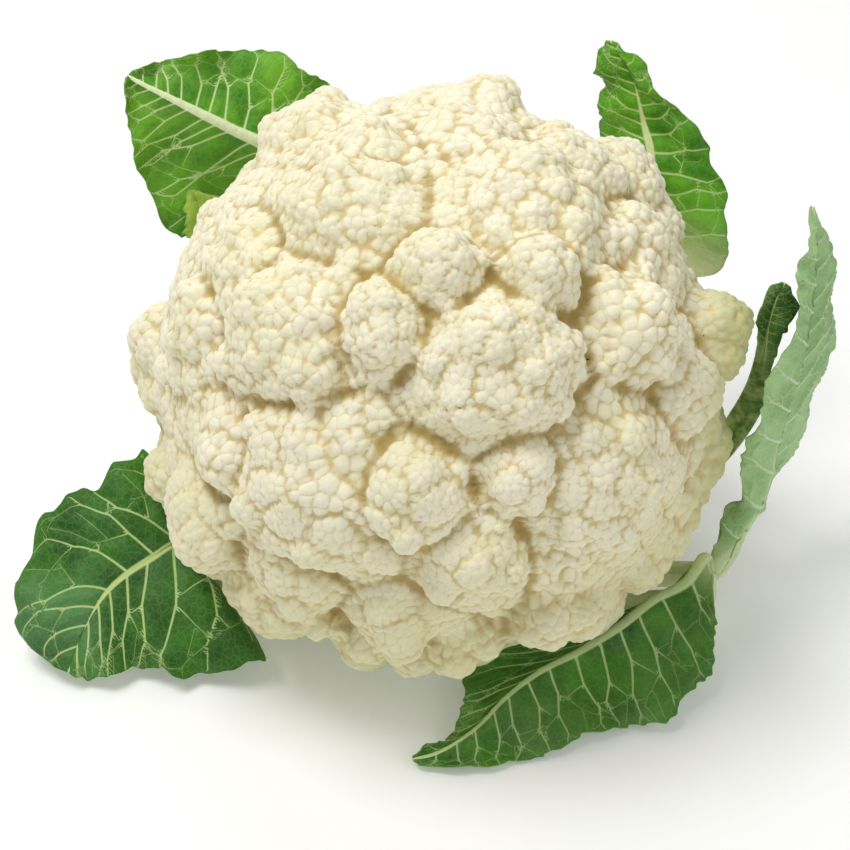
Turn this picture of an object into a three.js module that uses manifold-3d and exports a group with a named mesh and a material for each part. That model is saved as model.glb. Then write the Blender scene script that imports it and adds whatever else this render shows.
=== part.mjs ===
// A head of cauliflower standing on its cut stem, in millimetres, +Z up.
// The origin is the centre of the stem's flat cut face. +X is right of the head, -Y is its front.
// The white curd is one grown solid of florets; the stem and each leaf are solids of their own.
import * as THREE from 'three';
import { mergeVertices } from 'three/addons/utils/BufferGeometryUtils.js';
import Module from 'manifold-3d';

const wasm = await Module();
wasm.setup();

// Head of florets.
const HEAD_RADIUS = 87;
const HEAD_HEIGHT = 75;
const CORE_RADIUS = 78;
const RIM_HEIGHT = 17;
const HOLLOW_RISE = 9;
const HOLLOW_INNER = 22;
const HOLLOW_OUTER = 60;
const HEAD_DETAIL = 19;
const SOFTENING = 0.024;
const HEAD_FLATNESS = 1.15;
const HEAD_SUNK = 2;
const BACK_HEADS = 44;
const BACK_HEAD_RADIUS = 17;
const BACK_HEAD_LOWEST = -0.55;
const HEADS_APART = 0.93;
const HEAD_SEED = 3;
const SUNK_FLORET = -4;
const FLORET_PROUD = 0.28;
const UNDERSIDE_TURN = -0.3;
const FILL_FLORETS = 300;
const FILL_RADIUS = 8;
const FILL_SPREAD = 4.5;
const FILL_SUNK = 2;
const FILL_SEED = 7;
const NEAR_FRONT = 0.62;
const NEAR_FILL = 0.55;
const FLORET_DROOP = 5;
const LOWEST_FLORET = -0.78;

// Stem and its flare under the head.
const STEM_RADIUS = 20.5;
const STEM_SIDES = 40;
const STEM_PROFILE = [
  [0, 19.5], [1.5, 20.5], [5, 20], [9, 20.5], [13, 22.5], [17, 27], [20.5, 31.5], [23, 33], [25, 20],
];
const BRANCHES = 9;
const BRANCH_DEPTH = 0.07;
const SCARS = 7;
const SCAR_RISE = 1.1;

// Blades.
const BLADE_HALF = 0.45;
const TOUCH_GAP = 0.35;

// The eye looks at the middle of the head from in front and above.
const EYE_ELEVATION = THREE.MathUtils.degToRad(38);
const EYE_DISTANCE = 661;
const CENTRE = new THREE.Vector3(0, 0, HEAD_HEIGHT);
const LOOK_UP = new THREE.Vector3(0, Math.sin(EYE_ELEVATION), Math.cos(EYE_ELEVATION));
const TO_EYE = new THREE.Vector3(0, -Math.cos(EYE_ELEVATION), Math.sin(EYE_ELEVATION));
const EYE = CENTRE.clone().addScaledVector(TO_EYE, EYE_DISTANCE);

// Florets of the front: right and up of the head's middle as the eye sees them, radius, and how
// far each stands out of the head (minus: sunk in).
const FRONT_FLORETS = [
  // crown, left
  [-28, 60, 10.5, 2], [-38, 53, 8.5, 0], [-25, 66, 8, 1], [-31, 53, 6, 3], [-16, 49.5, 7.5, 1],
  [-43, 46, 6.5, -1], [-32, 47, 5, 0], [-47.5, 56, 7, -2], [-19.5, 76, 8.5, -1],
  [-33, 73, 7.5, -2], [-7.5, 78.5, 8, -1], [-6.5, 69.5, 8, 0], [-1, 53, 8.5, 1], [-12, 64.5, 5, -2],
  // left side
  [-29.5, 34, 9.5, 3], [-40, 31.5, 5, 1], [-20.5, 39, 6.5, -1], [-17, 21, 11, 3],
  [-16, 12.5, 10.5, 2], [-36.5, 19, 7.5, 4], [-40.5, 2, 11.5, 4], [-33.5, 10, 5, 4],
  [-52, 7, 6, 2], [-53, 22.5, 11, 3], [-56, 35, 9, 1], [-46, 39, 6.5, 0], [-64.5, 22.5, 12, 2],
  [-64.5, 5.5, 10.5, 2], [-75, 25, 10, -1], [-80, 12.5, 8, -2], [-68.5, 36.5, 8, -2],
  [-77, -4, 9.5, -2], [-80, -14, 7, -3], [-22.5, 0.5, 6, -3],
  // crown, middle and right
  [5.5, 82.5, 8, -2], [18, 83.5, 10, -2], [32, 82, 9, -2], [8.5, 74, 6.5, -1],
  [19.5, 71.5, 9.5, 1], [31, 64.5, 12, 2], [39, 71.5, 8.5, 0], [19.5, 60, 6.5, 1], [9, 65, 6, 0],
  [15, 53, 6, 1], [4, 63, 4, -1], [21, 46, 7.5, 1], [29.5, 49.5, 5.5, 2], [36.5, 56, 5.5, 2],
  [42, 47, 9, 1], [50.5, 71.5, 8, -2], [56, 64.5, 9.5, -1], [46, 60, 7, 0], [59, 47, 9.5, 0],
  [71, 46, 9.5, -2], [74, 35, 8, -2], [64.5, 57.5, 7, -2], [32, 33.5, 13.5, 4], [42, 38, 7, 4],
  [1.5, 35, 12, 3], [14, 36, 4.5, -1], [-1.5, 26.5, 5, 2], [56, 39, 6, -1],
  // right side
  [63, 17, 14.5, 3], [54, 29.5, 7.5, 2], [65, 31.5, 7.5, 1], [54, 4, 8, 3], [66.5, 7, 9, 3],
  [73.5, 17, 7.5, 0], [46, 16, 6, -2], [85, 16, 10.5, 6], [80, -3, 11, 2], [86, 6, 7, 4],
  [78, -11, 8, -1],
  // middle
  [15.5, 11, 14.5, 6], [29.5, 19.5, 9, 4], [38.5, 8.5, 10, 5], [1.5, 7, 9, 2],
  [5.5, 19.5, 7, 2], [8.5, -7, 9.5, 4], [22.5, -7, 9.5, 6], [35, -7, 8.5, 4], [29.5, 3, 9.5, 7],
  [46, 1.5, 4.5, -2],
  // sunk between the large ones
  [-14, -4, 8, -7], [-7, -12.5, 7, -7], [-24, -7, 5.5, -6], [7, -21, 7, -6], [8.5, -28.5, 5.5, -5],
  [1.5, -17, 5, -8],
  // lower left
  [-28, -19, 10.5, 3], [-25, -38, 9, 3], [-6.5, -32, 11, 4], [-8.5, -45, 8.5, 3],
  [-43.5, -18, 9, 2], [-54.5, -17, 10, 1], [-64.5, -25, 9, 0], [-42, -33.5, 10.5, 3],
  [-56, -36.5, 10.5, 1], [-66, -45, 8.5, -1], [-52, -53, 10.5, 2], [-38, -50, 10, 3],
  [-24, -53, 9, 3], [-12.5, -59, 9, 3], [-61.5, -59, 8, -1], [-54.5, -66, 6.5, -1],
  [-42, -68.5, 9.5, 0], [-28, -67, 9.5, 1], [-35, -75.5, 6.5, -1], [-11, -80, 10, 0],
  [-21, -82, 8.5, -1], [-1.5, -74, 8.5, -1], [-17, -73, 7, -2],
  // lower middle
  [11, -56, 12, 3], [21, -59, 9.5, 2], [4, -64.5, 8.5, 1], [11, -40.5, 8, -1],
  [19.5, -46, 7.5, 0], [15.5, -67, 7.5, 0], [0, -53, 7, 0],
  // lower right
  [26.5, -29.5, 12, 2], [31, -39, 7.5, 1], [46, -18, 8, 3], [39, -22.5, 5.5, 0],
  [57.5, -5.5, 8.5, -1], [49, -4, 5, -5], [59, -18, 10, 3], [71.5, -14, 10, 1], [74, -28, 10, 0],
  [61.5, -31, 10.5, 3], [49, -31, 5.5, 3], [42, -43.5, 8.5, 3], [54.5, -45, 10, 3],
  [67, -45, 9.5, 0], [46, -53, 8, 1], [59, -53, 8, 0], [35, -60, 7.5, -6], [50.5, -62, 7.5, -4],
  [42, -64.5, 6, -5], [29.5, -50.5, 6, -3],
];

// The large heads that the front's florets stand on, told in the same way.
const FRONT_HEADS = [
  [21, 4, 24, 5], [62, 16, 18, 3], [33, 58, 26, 1], [-28, 58, 20, 1], [1, 34, 14, 3],
  [33, 33, 14, 3], [-17, 17, 14, 3], [-48, 16, 22, 3], [-75, 18, 13, -1], [-44, -38, 28, 2],
  [-8, -38, 17, 3], [12, -58, 16, 1], [-14, -77, 14, -1], [55, -33, 26, 2], [28, -30, 13, 1],
  [66, 46, 14, -1], [78, -2, 14, 1], [86, 14, 12, 5], [12, 80, 15, -2], [46, 70, 15, -1],
  [-22, 74, 14, -2], [-66, -24, 15, 0], [-62, 36, 14, -1], [-46, -62, 16, 0],
];

function at(x, y, z) {
  return new THREE.Vector3(x, y, z);
}

// The point at a height above the floor that the eye sees right and up of the head's middle.
function seen(right, up, height) {
  const target = CENTRE.clone().addScaledVector(LOOK_UP, up);
  target.x += right;
  const ray = target.sub(EYE);
  return EYE.clone().addScaledVector(ray, (height - EYE.z) / ray.z);
}

function smoothstep(low, high, value) {
  return THREE.MathUtils.smoothstep(value, low, high);
}

// Seeded random numbers from 0 to 1, the same at each run.
function seededRandom(seed) {
  let state = seed;
  return () => {
    state = (state * 1664525 + 1013904223) % 4294967296;
    return state / 4294967296;
  };
}

// How high the hollow under the head is, at a distance from the stem's axis.
function undersideHeight(radius) {
  return RIM_HEIGHT + HOLLOW_RISE * (1 - smoothstep(HOLLOW_INNER, HOLLOW_OUTER, radius));
}

// Distance from the head's middle to its underside in a downward direction.
function undersideReach(direction) {
  if (direction.z > UNDERSIDE_TURN) {
    return Infinity;
  }
  let reach = (HEAD_HEIGHT - RIM_HEIGHT) / -direction.z;
  for (let step = 0; step < 4; step += 1) {
    const radius = reach * Math.hypot(direction.x, direction.y);
    reach = (HEAD_HEIGHT - undersideHeight(radius)) / -direction.z;
  }
  return reach;
}

// Places a floret of the front on the head, where the eye sees it.
function frontFloret([right, up, radius, lift]) {
  const target = CENTRE.clone().addScaledVector(LOOK_UP, up);
  target.x += right;
  const ray = target.sub(EYE).normalize();
  const fromCentre = EYE.clone().sub(CENTRE);
  const along = -ray.dot(fromCentre);
  const nearest = fromCentre.clone().addScaledVector(ray, along);
  const inside = Math.max(HEAD_RADIUS ** 2 - nearest.lengthSq(), 0);
  const hit = nearest.addScaledVector(ray, -Math.sqrt(inside));
  const trueRadius = radius * (along - Math.sqrt(inside)) / EYE_DISTANCE;
  const centre = hit.setLength(HEAD_RADIUS + lift - trueRadius);
  return { centre, radius: trueRadius };
}

// The large flat heads: those of the front, and a spiral of others round the back.
function largeHeads() {
  const made = FRONT_HEADS.map(([right, up, radius, lift]) => {
    return frontFloret([right, up, radius * HEAD_FLATNESS, lift - HEAD_SUNK]);
  });
  const front = made.map(({ centre }) => centre.clone().normalize());
  const random = seededRandom(HEAD_SEED);
  const turn = Math.PI * (3 - Math.sqrt(5));
  for (let index = 0; index < BACK_HEADS; index += 1) {
    const height = 1 - (2 * (index + 0.5)) / BACK_HEADS;
    const across = Math.sqrt(1 - height * height);
    const angle = index * turn + 0.6 * random();
    const radius = BACK_HEAD_RADIUS * (0.8 + 0.4 * random()) * HEAD_FLATNESS;
    const direction = at(across * Math.cos(angle), across * Math.sin(angle), height);
    const free = front.every((other) => other.dot(direction) < HEADS_APART);
    if (free && height > BACK_HEAD_LOWEST) {
      const reach = HEAD_RADIUS + 3 * random() - HEAD_SUNK - radius;
      made.push({ centre: direction.multiplyScalar(reach), radius });
    }
  }
  return made;
}

// Distance from the head's middle to the far side of a ball in a direction, 0 where it misses.
function ballReach(direction, { centre, radius }) {
  const along = direction.dot(centre);
  const inside = radius * radius - centre.lengthSq() + along * along;
  return along > 0 && inside > 0 ? along + Math.sqrt(inside) : 0;
}

// Moves a floret in or out so that it stands a little proud of the head under it.
function onHeads({ centre, radius }, heads) {
  const direction = centre.clone().normalize();
  if (direction.z < UNDERSIDE_TURN) {
    return { centre, radius };
  }
  const reach = Math.max(CORE_RADIUS, ...heads.map((head) => ballReach(direction, head)));
  return { centre: direction.multiplyScalar(reach + (FLORET_PROUD - 1) * radius), radius };
}

// Every ball of the curd: the heads, the florets on them, and the florets sunk between them.
function allFlorets() {
  const heads = largeHeads();
  const front = FRONT_FLORETS.map(frontFloret);
  const isSunk = (index) => FRONT_FLORETS[index][3] < SUNK_FLORET;
  const sunk = front.filter((floret, index) => isSunk(index));
  const raised = front.filter((floret, index) => !isSunk(index));
  const standing = [...raised, ...fillFlorets(front)];
  return [...heads, ...sunk, ...standing.map((floret) => onHeads(floret, heads))];
}

function tooClose(centre, radius, florets, share) {
  return florets.some((other) => {
    return other.centre.distanceTo(centre) < share * (other.radius + radius);
  });
}

// Florets of the back and the turned-under rim, and small gaps of the front, spread in a spiral
// where no other stands.
function fillFlorets(front) {
  const random = seededRandom(FILL_SEED);
  const turn = Math.PI * (3 - Math.sqrt(5));
  const added = [];
  for (let index = 0; index < FILL_FLORETS; index += 1) {
    const radius = FILL_RADIUS + FILL_SPREAD * random();
    const lift = 4 * random() - FILL_SUNK;
    const height = 1 - (2 * (index + 0.5)) / FILL_FLORETS;
    const across = Math.sqrt(1 - height * height);
    const angle = index * turn + 0.5 * random();
    const direction = at(across * Math.cos(angle), across * Math.sin(angle), height);
    const reach = Math.min(HEAD_RADIUS + lift, undersideReach(direction));
    const centre = direction.clone().multiplyScalar(reach - radius);
    const nearFront = tooClose(centre, radius, front, NEAR_FRONT);
    const nearFill = tooClose(centre, radius, added, NEAR_FILL);
    if (height > LOWEST_FLORET && !nearFront && !nearFill) {
      added.push({ centre, radius });
    }
  }
  return added;
}

// Distance from the head's middle to its surface in a direction.
function surfaceReach(direction, florets) {
  const underside = undersideReach(direction);
  let reach = Math.min(CORE_RADIUS, underside);
  for (const floret of florets) {
    reach = Math.max(reach, ballReach(direction, floret));
  }
  return Math.min(reach, underside + FLORET_DROOP);
}

// The same, evened out over a small cone so that the facets follow the florets.
function softReach(direction, florets) {
  const side = at(0, 0, 1).cross(direction);
  if (side.lengthSq() < 1e-6) {
    side.set(1, 0, 0);
  }
  side.normalize();
  const other = direction.clone().cross(side);
  let total = 2 * surfaceReach(direction, florets);
  for (let index = 0; index < 6; index += 1) {
    const angle = (index * Math.PI) / 3;
    const near = direction.clone();
    near.addScaledVector(side, SOFTENING * Math.cos(angle));
    near.addScaledVector(other, SOFTENING * Math.sin(angle));
    total += surfaceReach(near.normalize(), florets);
  }
  return total / 8;
}

function indexed(geometry) {
  geometry.deleteAttribute('normal');
  geometry.deleteAttribute('uv');
  return mergeVertices(geometry, 1e-5);
}

function toSolid(geometry) {
  return new wasm.Manifold(new wasm.Mesh({
    numProp: 3,
    vertProperties: new Float32Array(geometry.attributes.position.array),
    triVerts: new Uint32Array(geometry.index.array),
  }));
}

// The largest body of a solid, as a geometry.
function toGeometry(solid) {
  const bodies = solid.decompose();
  bodies.sort((a, b) => b.volume() - a.volume());
  const mesh = bodies[0].getMesh();
  const geometry = new THREE.BufferGeometry();
  geometry.setAttribute('position', new THREE.BufferAttribute(new Float32Array(mesh.vertProperties), 3));
  geometry.setIndex(new THREE.BufferAttribute(new Uint32Array(mesh.triVerts), 1));
  return geometry;
}

function curdSolid(florets) {
  const geometry = indexed(new THREE.IcosahedronGeometry(1, HEAD_DETAIL));
  const position = geometry.attributes.position;
  const direction = new THREE.Vector3();
  for (let index = 0; index < position.count; index += 1) {
    direction.fromBufferAttribute(position, index).normalize();
    direction.multiplyScalar(softReach(direction, florets)).add(CENTRE);
    position.setXYZ(index, direction.x, direction.y, direction.z);
  }
  return toSolid(geometry);
}

// Closed solid between two grids of points with the same triangles on both.
function gridSolid(top, bottom) {
  const rows = top.length;
  const columns = top[0].length;
  const points = [...top.flat(), ...bottom.flat()];
  const lower = rows * columns;
  const triangles = [];
  for (let row = 0; row < rows - 1; row += 1) {
    for (let column = 0; column < columns - 1; column += 1) {
      const a = row * columns + column;
      const b = a + 1;
      const c = a + columns;
      const d = c + 1;
      triangles.push(a, b, d, a, d, c);
      triangles.push(lower + a, lower + d, lower + b, lower + a, lower + c, lower + d);
    }
  }
  const rim = [];
  for (let column = 0; column < columns - 1; column += 1) {
    rim.push(column);
  }
  for (let row = 0; row < rows - 1; row += 1) {
    rim.push(row * columns + columns - 1);
  }
  for (let column = columns - 1; column > 0; column -= 1) {
    rim.push((rows - 1) * columns + column);
  }
  for (let row = rows - 1; row > 0; row -= 1) {
    rim.push(row * columns);
  }
  rim.forEach((from, index) => {
    const to = rim[(index + 1) % rim.length];
    triangles.push(from, lower + from, lower + to, from, lower + to, to);
  });
  const geometry = new THREE.BufferGeometry();
  const flat = new Float32Array(points.flatMap((point) => [point.x, point.y, point.z]));
  geometry.setAttribute('position', new THREE.BufferAttribute(flat, 3));
  geometry.setIndex(triangles);
  const solid = toSolid(geometry);
  if (solid.volume() > 0) {
    return solid;
  }
  for (let index = 0; index < triangles.length; index += 3) {
    const swap = triangles[index];
    triangles[index] = triangles[index + 1];
    triangles[index + 1] = swap;
  }
  geometry.setIndex(triangles);
  return toSolid(geometry);
}

// Stem with flat cut face, old leaf scars and branches that flare under the head.
function stemSolid(grow) {
  const rings = [];
  for (const [height, reach] of STEM_PROFILE) {
    const ring = [];
    for (let side = 0; side < STEM_SIDES; side += 1) {
      const angle = (side * 2 * Math.PI) / STEM_SIDES;
      const flare = BRANCH_DEPTH * smoothstep(8, 20, height) * Math.cos(BRANCHES * angle);
      const radius = reach * (1 + flare) + scarRise(angle, height) + grow;
      ring.push(at(radius * Math.cos(angle), radius * Math.sin(angle), height));
    }
    rings.push(ring);
  }
  const points = rings.flat();
  const bottom = points.length;
  points.push(at(0, 0, 0), at(0, 0, STEM_PROFILE.at(-1)[0]));
  const triangles = [];
  for (let side = 0; side < STEM_SIDES; side += 1) {
    const next = (side + 1) % STEM_SIDES;
    for (let ring = 0; ring < rings.length - 1; ring += 1) {
      const a = ring * STEM_SIDES;
      const b = a + STEM_SIDES;
      triangles.push(a + side, a + next, b + next, a + side, b + next, b + side);
    }
    const last = (rings.length - 1) * STEM_SIDES;
    triangles.push(bottom, next, side, bottom + 1, last + side, last + next);
  }
  const geometry = new THREE.BufferGeometry();
  const flat = new Float32Array(points.flatMap((point) => [point.x, point.y, point.z]));
  geometry.setAttribute('position', new THREE.BufferAttribute(flat, 3));
  geometry.setIndex(triangles);
  return toSolid(geometry);
}

function scarRise(angle, height) {
  let rise = 0;
  for (let index = 0; index < SCARS; index += 1) {
    const middle = (index * 2.4) % (2 * Math.PI);
    const level = 3.5 + (index * 1.3) % 6;
    const turn = Math.atan2(Math.sin(angle - middle), Math.cos(angle - middle));
    const across = (turn * STEM_RADIUS) / 7;
    const above = (height - level - 0.8 * across * across) / 2;
    rise += SCAR_RISE * Math.exp(-across * across - above * above);
  }
  return rise * smoothstep(0, 3, height);
}

// One leaf: a stalk, then stations of rib, one edge, other edge, from base to tip.
// thick: half depth of the stalk; wide: half width of the stalk; face: side that looks up.
const LEAVES = [
  {
    name: 'leaf_back_left', colour: 0x4f8f2b, rows: 24, columns: 8, thick: 4.2, wide: 6,
    wave: 1.6, waves: 6, teeth: 8, tooth: 0.03, bow: 2, face: 1,
    stalk: [at(-9, 14, 7), at(-27, 50, 8.5), at(-40, 79, 27), at(-44, 86, 55)],
    stations: [
      [at(-45, 88, 76), at(-33, 90, 78), at(-58, 88, 62)],
      [seen(-44.8, 63.8, 99), seen(-27, 76, 108), seen(-60.5, 40, 65)],
      [seen(-57.4, 70.6, 108), seen(-36, 87.5, 120), seen(-73, 41, 73)],
      [seen(-68.6, 76.2, 115), seen(-52, 92.4, 125), seen(-81, 54, 90)],
      [seen(-77, 80.4, 120), seen(-68.6, 91.3, 128), seen(-84.8, 66, 106)],
      [seen(-82.6, 83.2, 123), seen(-77.6, 89, 127), seen(-86.5, 76.5, 117)],
      [seen(-86.2, 85.2, 125), seen(-84.6, 86.6, 125.5), seen(-87, 82.5, 124)],
    ],
  },
  {
    name: 'leaf_young', colour: 0x86ad2f, rows: 14, columns: 6, thick: 1.7, wide: 2.6,
    wave: 0.8, waves: 4, teeth: 6, tooth: 0.08, bow: 1, face: 1,
    stalk: [at(-18, 6, 7), at(-45, 34, 8), at(-66, 56, 26), at(-70, 62, 56)],
    stations: [
      [seen(-61, 40, 76), seen(-64.5, 38.5, 75), seen(-57.5, 42, 77)],
      [seen(-63.4, 44.5, 82), seen(-69.8, 40, 78), seen(-55.7, 48, 84)],
      [seen(-66.4, 49.6, 88), seen(-69.8, 46, 85), seen(-60.5, 51.4, 89)],
      [seen(-68.8, 53, 91.5), seen(-69.4, 52, 91), seen(-67.4, 53.2, 92)],
    ],
  },
  {
    name: 'leaf_back_right', colour: 0x4a8a28, rows: 24, columns: 8, thick: 3.8, wide: 5.5,
    wave: 2.6, waves: 5, teeth: 9, tooth: 0.05, bow: 2, face: 1,
    stalk: [at(8, 14, 7), at(34, 51, 8.5), at(56, 75, 27), at(62, 80, 52)],
    stations: [
      [at(63, 80, 72), at(52, 86, 74), seen(80.4, 31, 66)],
      [seen(61, 60, 97), seen(47.6, 58.8, 92), seen(81.5, 44, 81)],
      [seen(59, 71.4, 108), seen(46.4, 72.8, 105), seen(80, 58, 93)],
      [seen(57.4, 78.4, 116), seen(46.2, 78.4, 113), seen(72.5, 70, 108)],
      [seen(56, 84, 122), seen(46, 85.4, 120), seen(64.5, 80, 119)],
      [seen(53.2, 90.2, 129), seen(46.3, 91.3, 128), seen(57, 87.6, 127)],
      [seen(49.3, 94.8, 133.5), seen(47.7, 94.9, 133.4), seen(51.2, 94.4, 133.6)],
    ],
  },
  {
    name: 'leaf_right_small', colour: 0x2f6b25, rows: 14, columns: 6, thick: 2.6, wide: 4,
    wave: 1, waves: 3, teeth: 5, tooth: 0.06, bow: 1, face: 1,
    stalk: [at(17, 7, 7), at(50, 18, 8), at(78, 24, 20), at(92, 24, 44)],
    stations: [
      [seen(92, 6, 68), seen(89.6, 7, 69), seen(94.6, 4.4, 67)],
      [seen(94, 17, 83), seen(91, 19, 85), seen(98.3, 13.4, 81)],
      [seen(96, 23.6, 92), seen(93.4, 25.8, 93), seen(101.2, 21.4, 90)],
      [seen(98, 27, 96.5), seen(96.8, 27.4, 96.6), seen(99.6, 26, 96)],
    ],
  },
  {
    name: 'leaf_right', colour: 0x8fb58a, rows: 28, columns: 6, thick: 3.6, wide: 5,
    wave: 1.4, waves: 6, teeth: 9, tooth: 0.04, bow: -1.5, face: -1,
    stalk: [at(19, -2, 7), at(48, -3, 8), at(70, -9, 12)],
    stations: [
      [seen(78.1, -51, 20), seen(76, -50.4, 20.5), seen(80.4, -51.4, 18)],
      [seen(82.6, -42, 27), seen(79.4, -41.4, 29), seen(85.4, -43, 21)],
      [seen(87.4, -35, 35), seen(84.6, -33.4, 38), seen(90.4, -36, 24)],
      [seen(91, -28, 45), seen(85.4, -27, 49), seen(93.6, -29, 29)],
      [seen(94, -16.8, 60), seen(87.6, -17.4, 63), seen(101, -17.4, 40)],
      [seen(98, -5.6, 76), seen(91.8, -5.9, 79), seen(105.8, -6.2, 54)],
      [seen(102, 7, 91), seen(97.4, 7, 94), seen(109.5, 6.4, 70)],
      [seen(104.6, 21, 106), seen(101.4, 20.4, 108), seen(112, 21, 90)],
      [seen(106, 35, 121), seen(103.4, 34.4, 122), seen(110.8, 34.4, 112)],
      [seen(105.6, 48.6, 136), seen(104.8, 48, 135.4), seen(106.4, 47.6, 134)],
    ],
  },
  {
    name: 'leaf_front', colour: 0x4c8a3c, rows: 28, columns: 8, thick: 3.8, wide: 5,
    wave: 1.3, waves: 6, teeth: 10, tooth: 0.035, bow: 1.5, face: 1,
    stalk: [at(14, -12, 7), at(42, -20, 7.5), at(66, -24, 10.5), at(77, -26, 18)],
    stations: [
      [seen(75.6, -50, 28), seen(73.6, -51.4, 25), seen(77.4, -51.6, 27)],
      [seen(70.8, -56.6, 25), seen(66, -57.4, 19), seen(78.4, -64, 23)],
      [seen(61.6, -61.6, 20), seen(55, -64.6, 14.5), seen(79, -74.2, 17)],
      [seen(51.8, -69.2, 16.5), seen(37.8, -67.8, 10.5), seen(74.2, -85.1, 9)],
      [seen(40.6, -76.2, 13), seen(21, -75.6, 8), seen(63, -96, 4)],
      [seen(29.4, -82, 10.5), seen(9.8, -79.8, 6.5), seen(51.8, -96.5, 4)],
      [seen(20.4, -88.8, 8), seen(7.6, -90, 6), seen(39, -101.4, 3.4)],
      [seen(11.2, -98, 6), seen(5, -98, 5.4), seen(23.8, -106, 2.8)],
      [seen(1.4, -104.2, 4.4), seen(-1.2, -101.8, 4.6), seen(8.4, -108.6, 2.6)],
      [seen(-6.2, -106.4, 3), seen(-6.4, -105.4, 3.1), seen(-4.2, -108, 2.6)],
    ],
  },
  {
    name: 'leaf_left', colour: 0x3f7a38, rows: 26, columns: 8, thick: 4, wide: 5.5,
    wave: 1.6, waves: 5, teeth: 9, tooth: 0.03, bow: 2, face: -1,
    stalk: [at(-19, -2, 7), at(-44, -6, 8), at(-60, -9, 11)],
    stations: [
      [at(-68, -12, 17), at(-70, 2, 24), at(-56, -26, 11)],
      [seen(-72.5, -46.5, 26), seen(-80.6, -20, 42), seen(-48.4, -79, 9.5)],
      [seen(-79.8, -50.4, 26), seen(-88.2, -23.6, 43), seen(-58.8, -80.9, 7)],
      [seen(-86.8, -54.9, 24), seen(-96, -30, 40), seen(-69.4, -83.4, 5)],
      [seen(-91.6, -59.4, 21), seen(-106.4, -35, 35), seen(-78.4, -80.5, 5.5)],
      [seen(-94.6, -63.6, 18), seen(-112.6, -44.8, 28), seen(-85.4, -81, 5.5)],
      [seen(-97.4, -68.9, 14), seen(-117, -58.8, 19), seen(-91.6, -83, 4.5)],
      [seen(-100.2, -75, 10), seen(-116.4, -70.6, 11), seen(-97.2, -83.4, 4.2)],
      [seen(-102.6, -82, 5.5), seen(-106.6, -80.4, 6), seen(-100.6, -83.4, 4.4)],
    ],
  },
  {
    name: 'leaf_bract', colour: 0x6f9c3a, rows: 8, columns: 4, thick: 1.2, wide: 1.8,
    wave: 0.4, waves: 2, teeth: 3, tooth: 0.1, bow: 0.4, face: 1,
    stalk: [at(4, -16, 8), at(16, -26, 9)],
    stations: [
      [at(23.5, -29, 10.5), at(20.5, -30.5, 11), at(26.5, -27.5, 10.5)],
      [at(26, -32.5, 12.5), at(23.4, -34, 12.6), at(28.6, -31, 12.6)],
      [at(27.8, -34.6, 14.6), at(27, -35.2, 14.6), at(28.8, -34.2, 14.6)],
    ],
  },
];

// Curves of the rib and both edges, with the stalk's own edges set off beside its rib.
function leafRails(leaf, grow) {
  const [firstRib, firstOne, firstOther] = leaf.stations[0];
  const across = firstOther.clone().sub(firstOne).normalize();
  const rib = [];
  const one = [];
  const other = [];
  const path = [...leaf.stalk, firstRib];
  leaf.stalk.forEach((point, index) => {
    const along = path[index + 1].clone().sub(path[Math.max(index - 1, 0)]).normalize();
    const level = along.clone().cross(at(0, 0, 1)).normalize();
    if (level.dot(across) < 0) {
      level.negate();
    }
    const side = level.lerp(across, index / leaf.stalk.length);
    side.addScaledVector(along, -side.dot(along)).normalize();
    rib.push(point);
    one.push(point.clone().addScaledVector(side, -leaf.wide - grow));
    other.push(point.clone().addScaledVector(side, leaf.wide + grow));
  });
  for (const [ribPoint, onePoint, otherPoint] of leaf.stations) {
    rib.push(ribPoint);
    one.push(pushedOut(onePoint, ribPoint, grow));
    other.push(pushedOut(otherPoint, ribPoint, grow));
  }
  return [one, rib, other].map((points) => new THREE.CatmullRomCurve3(points));
}

function pushedOut(edge, rib, grow) {
  const outward = edge.clone().sub(rib);
  return edge.clone().addScaledVector(outward, grow / outward.length());
}

// Middle surface of a leaf as a grid of points, waved and toothed towards its edges.
function leafSurface(leaf, grow) {
  const [one, rib, other] = leafRails(leaf, grow);
  const stalkShare = leaf.stalk.length / (leaf.stalk.length + leaf.stations.length - 1);
  const grid = [];
  for (let row = 0; row <= leaf.rows; row += 1) {
    const t = row / leaf.rows;
    const blade = smoothstep(stalkShare - 0.05, stalkShare + 0.15, t) * (1 - smoothstep(0.93, 1, t));
    const ribPoint = rib.getPoint(t);
    const along = rib.getTangent(t);
    const across = other.getPoint(t).sub(one.getPoint(t));
    const up = across.cross(along).normalize().multiplyScalar(leaf.face);
    const line = [];
    for (let column = 0; column <= leaf.columns; column += 1) {
      const v = (2 * column) / leaf.columns - 1;
      const reach = Math.abs(v);
      const edge = (v < 0 ? one : other).getPoint(t);
      const phase = v < 0 ? 0 : 1.3;
      const tooth = leaf.tooth * reach ** 4 * Math.sin(2 * Math.PI * leaf.teeth * t + phase);
      const point = ribPoint.clone().lerp(edge, reach * (1 + blade * tooth));
      const wave = leaf.wave * reach ** 2 * Math.sin(2 * Math.PI * leaf.waves * t + phase);
      const bow = leaf.bow * 4 * reach * (1 - reach);
      point.addScaledVector(up, blade * (wave + bow));
      line.push(point);
    }
    grid.push(line);
  }
  return grid;
}

// Outward direction of the middle surface at a point of its grid.
function gridNormal(grid, row, column) {
  const before = grid[Math.max(row - 1, 0)][column];
  const after = grid[Math.min(row + 1, grid.length - 1)][column];
  const left = grid[row][Math.max(column - 1, 0)];
  const right = grid[row][Math.min(column + 1, grid[row].length - 1)];
  const across = right.clone().sub(left);
  return across.cross(after.clone().sub(before)).normalize();
}

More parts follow.
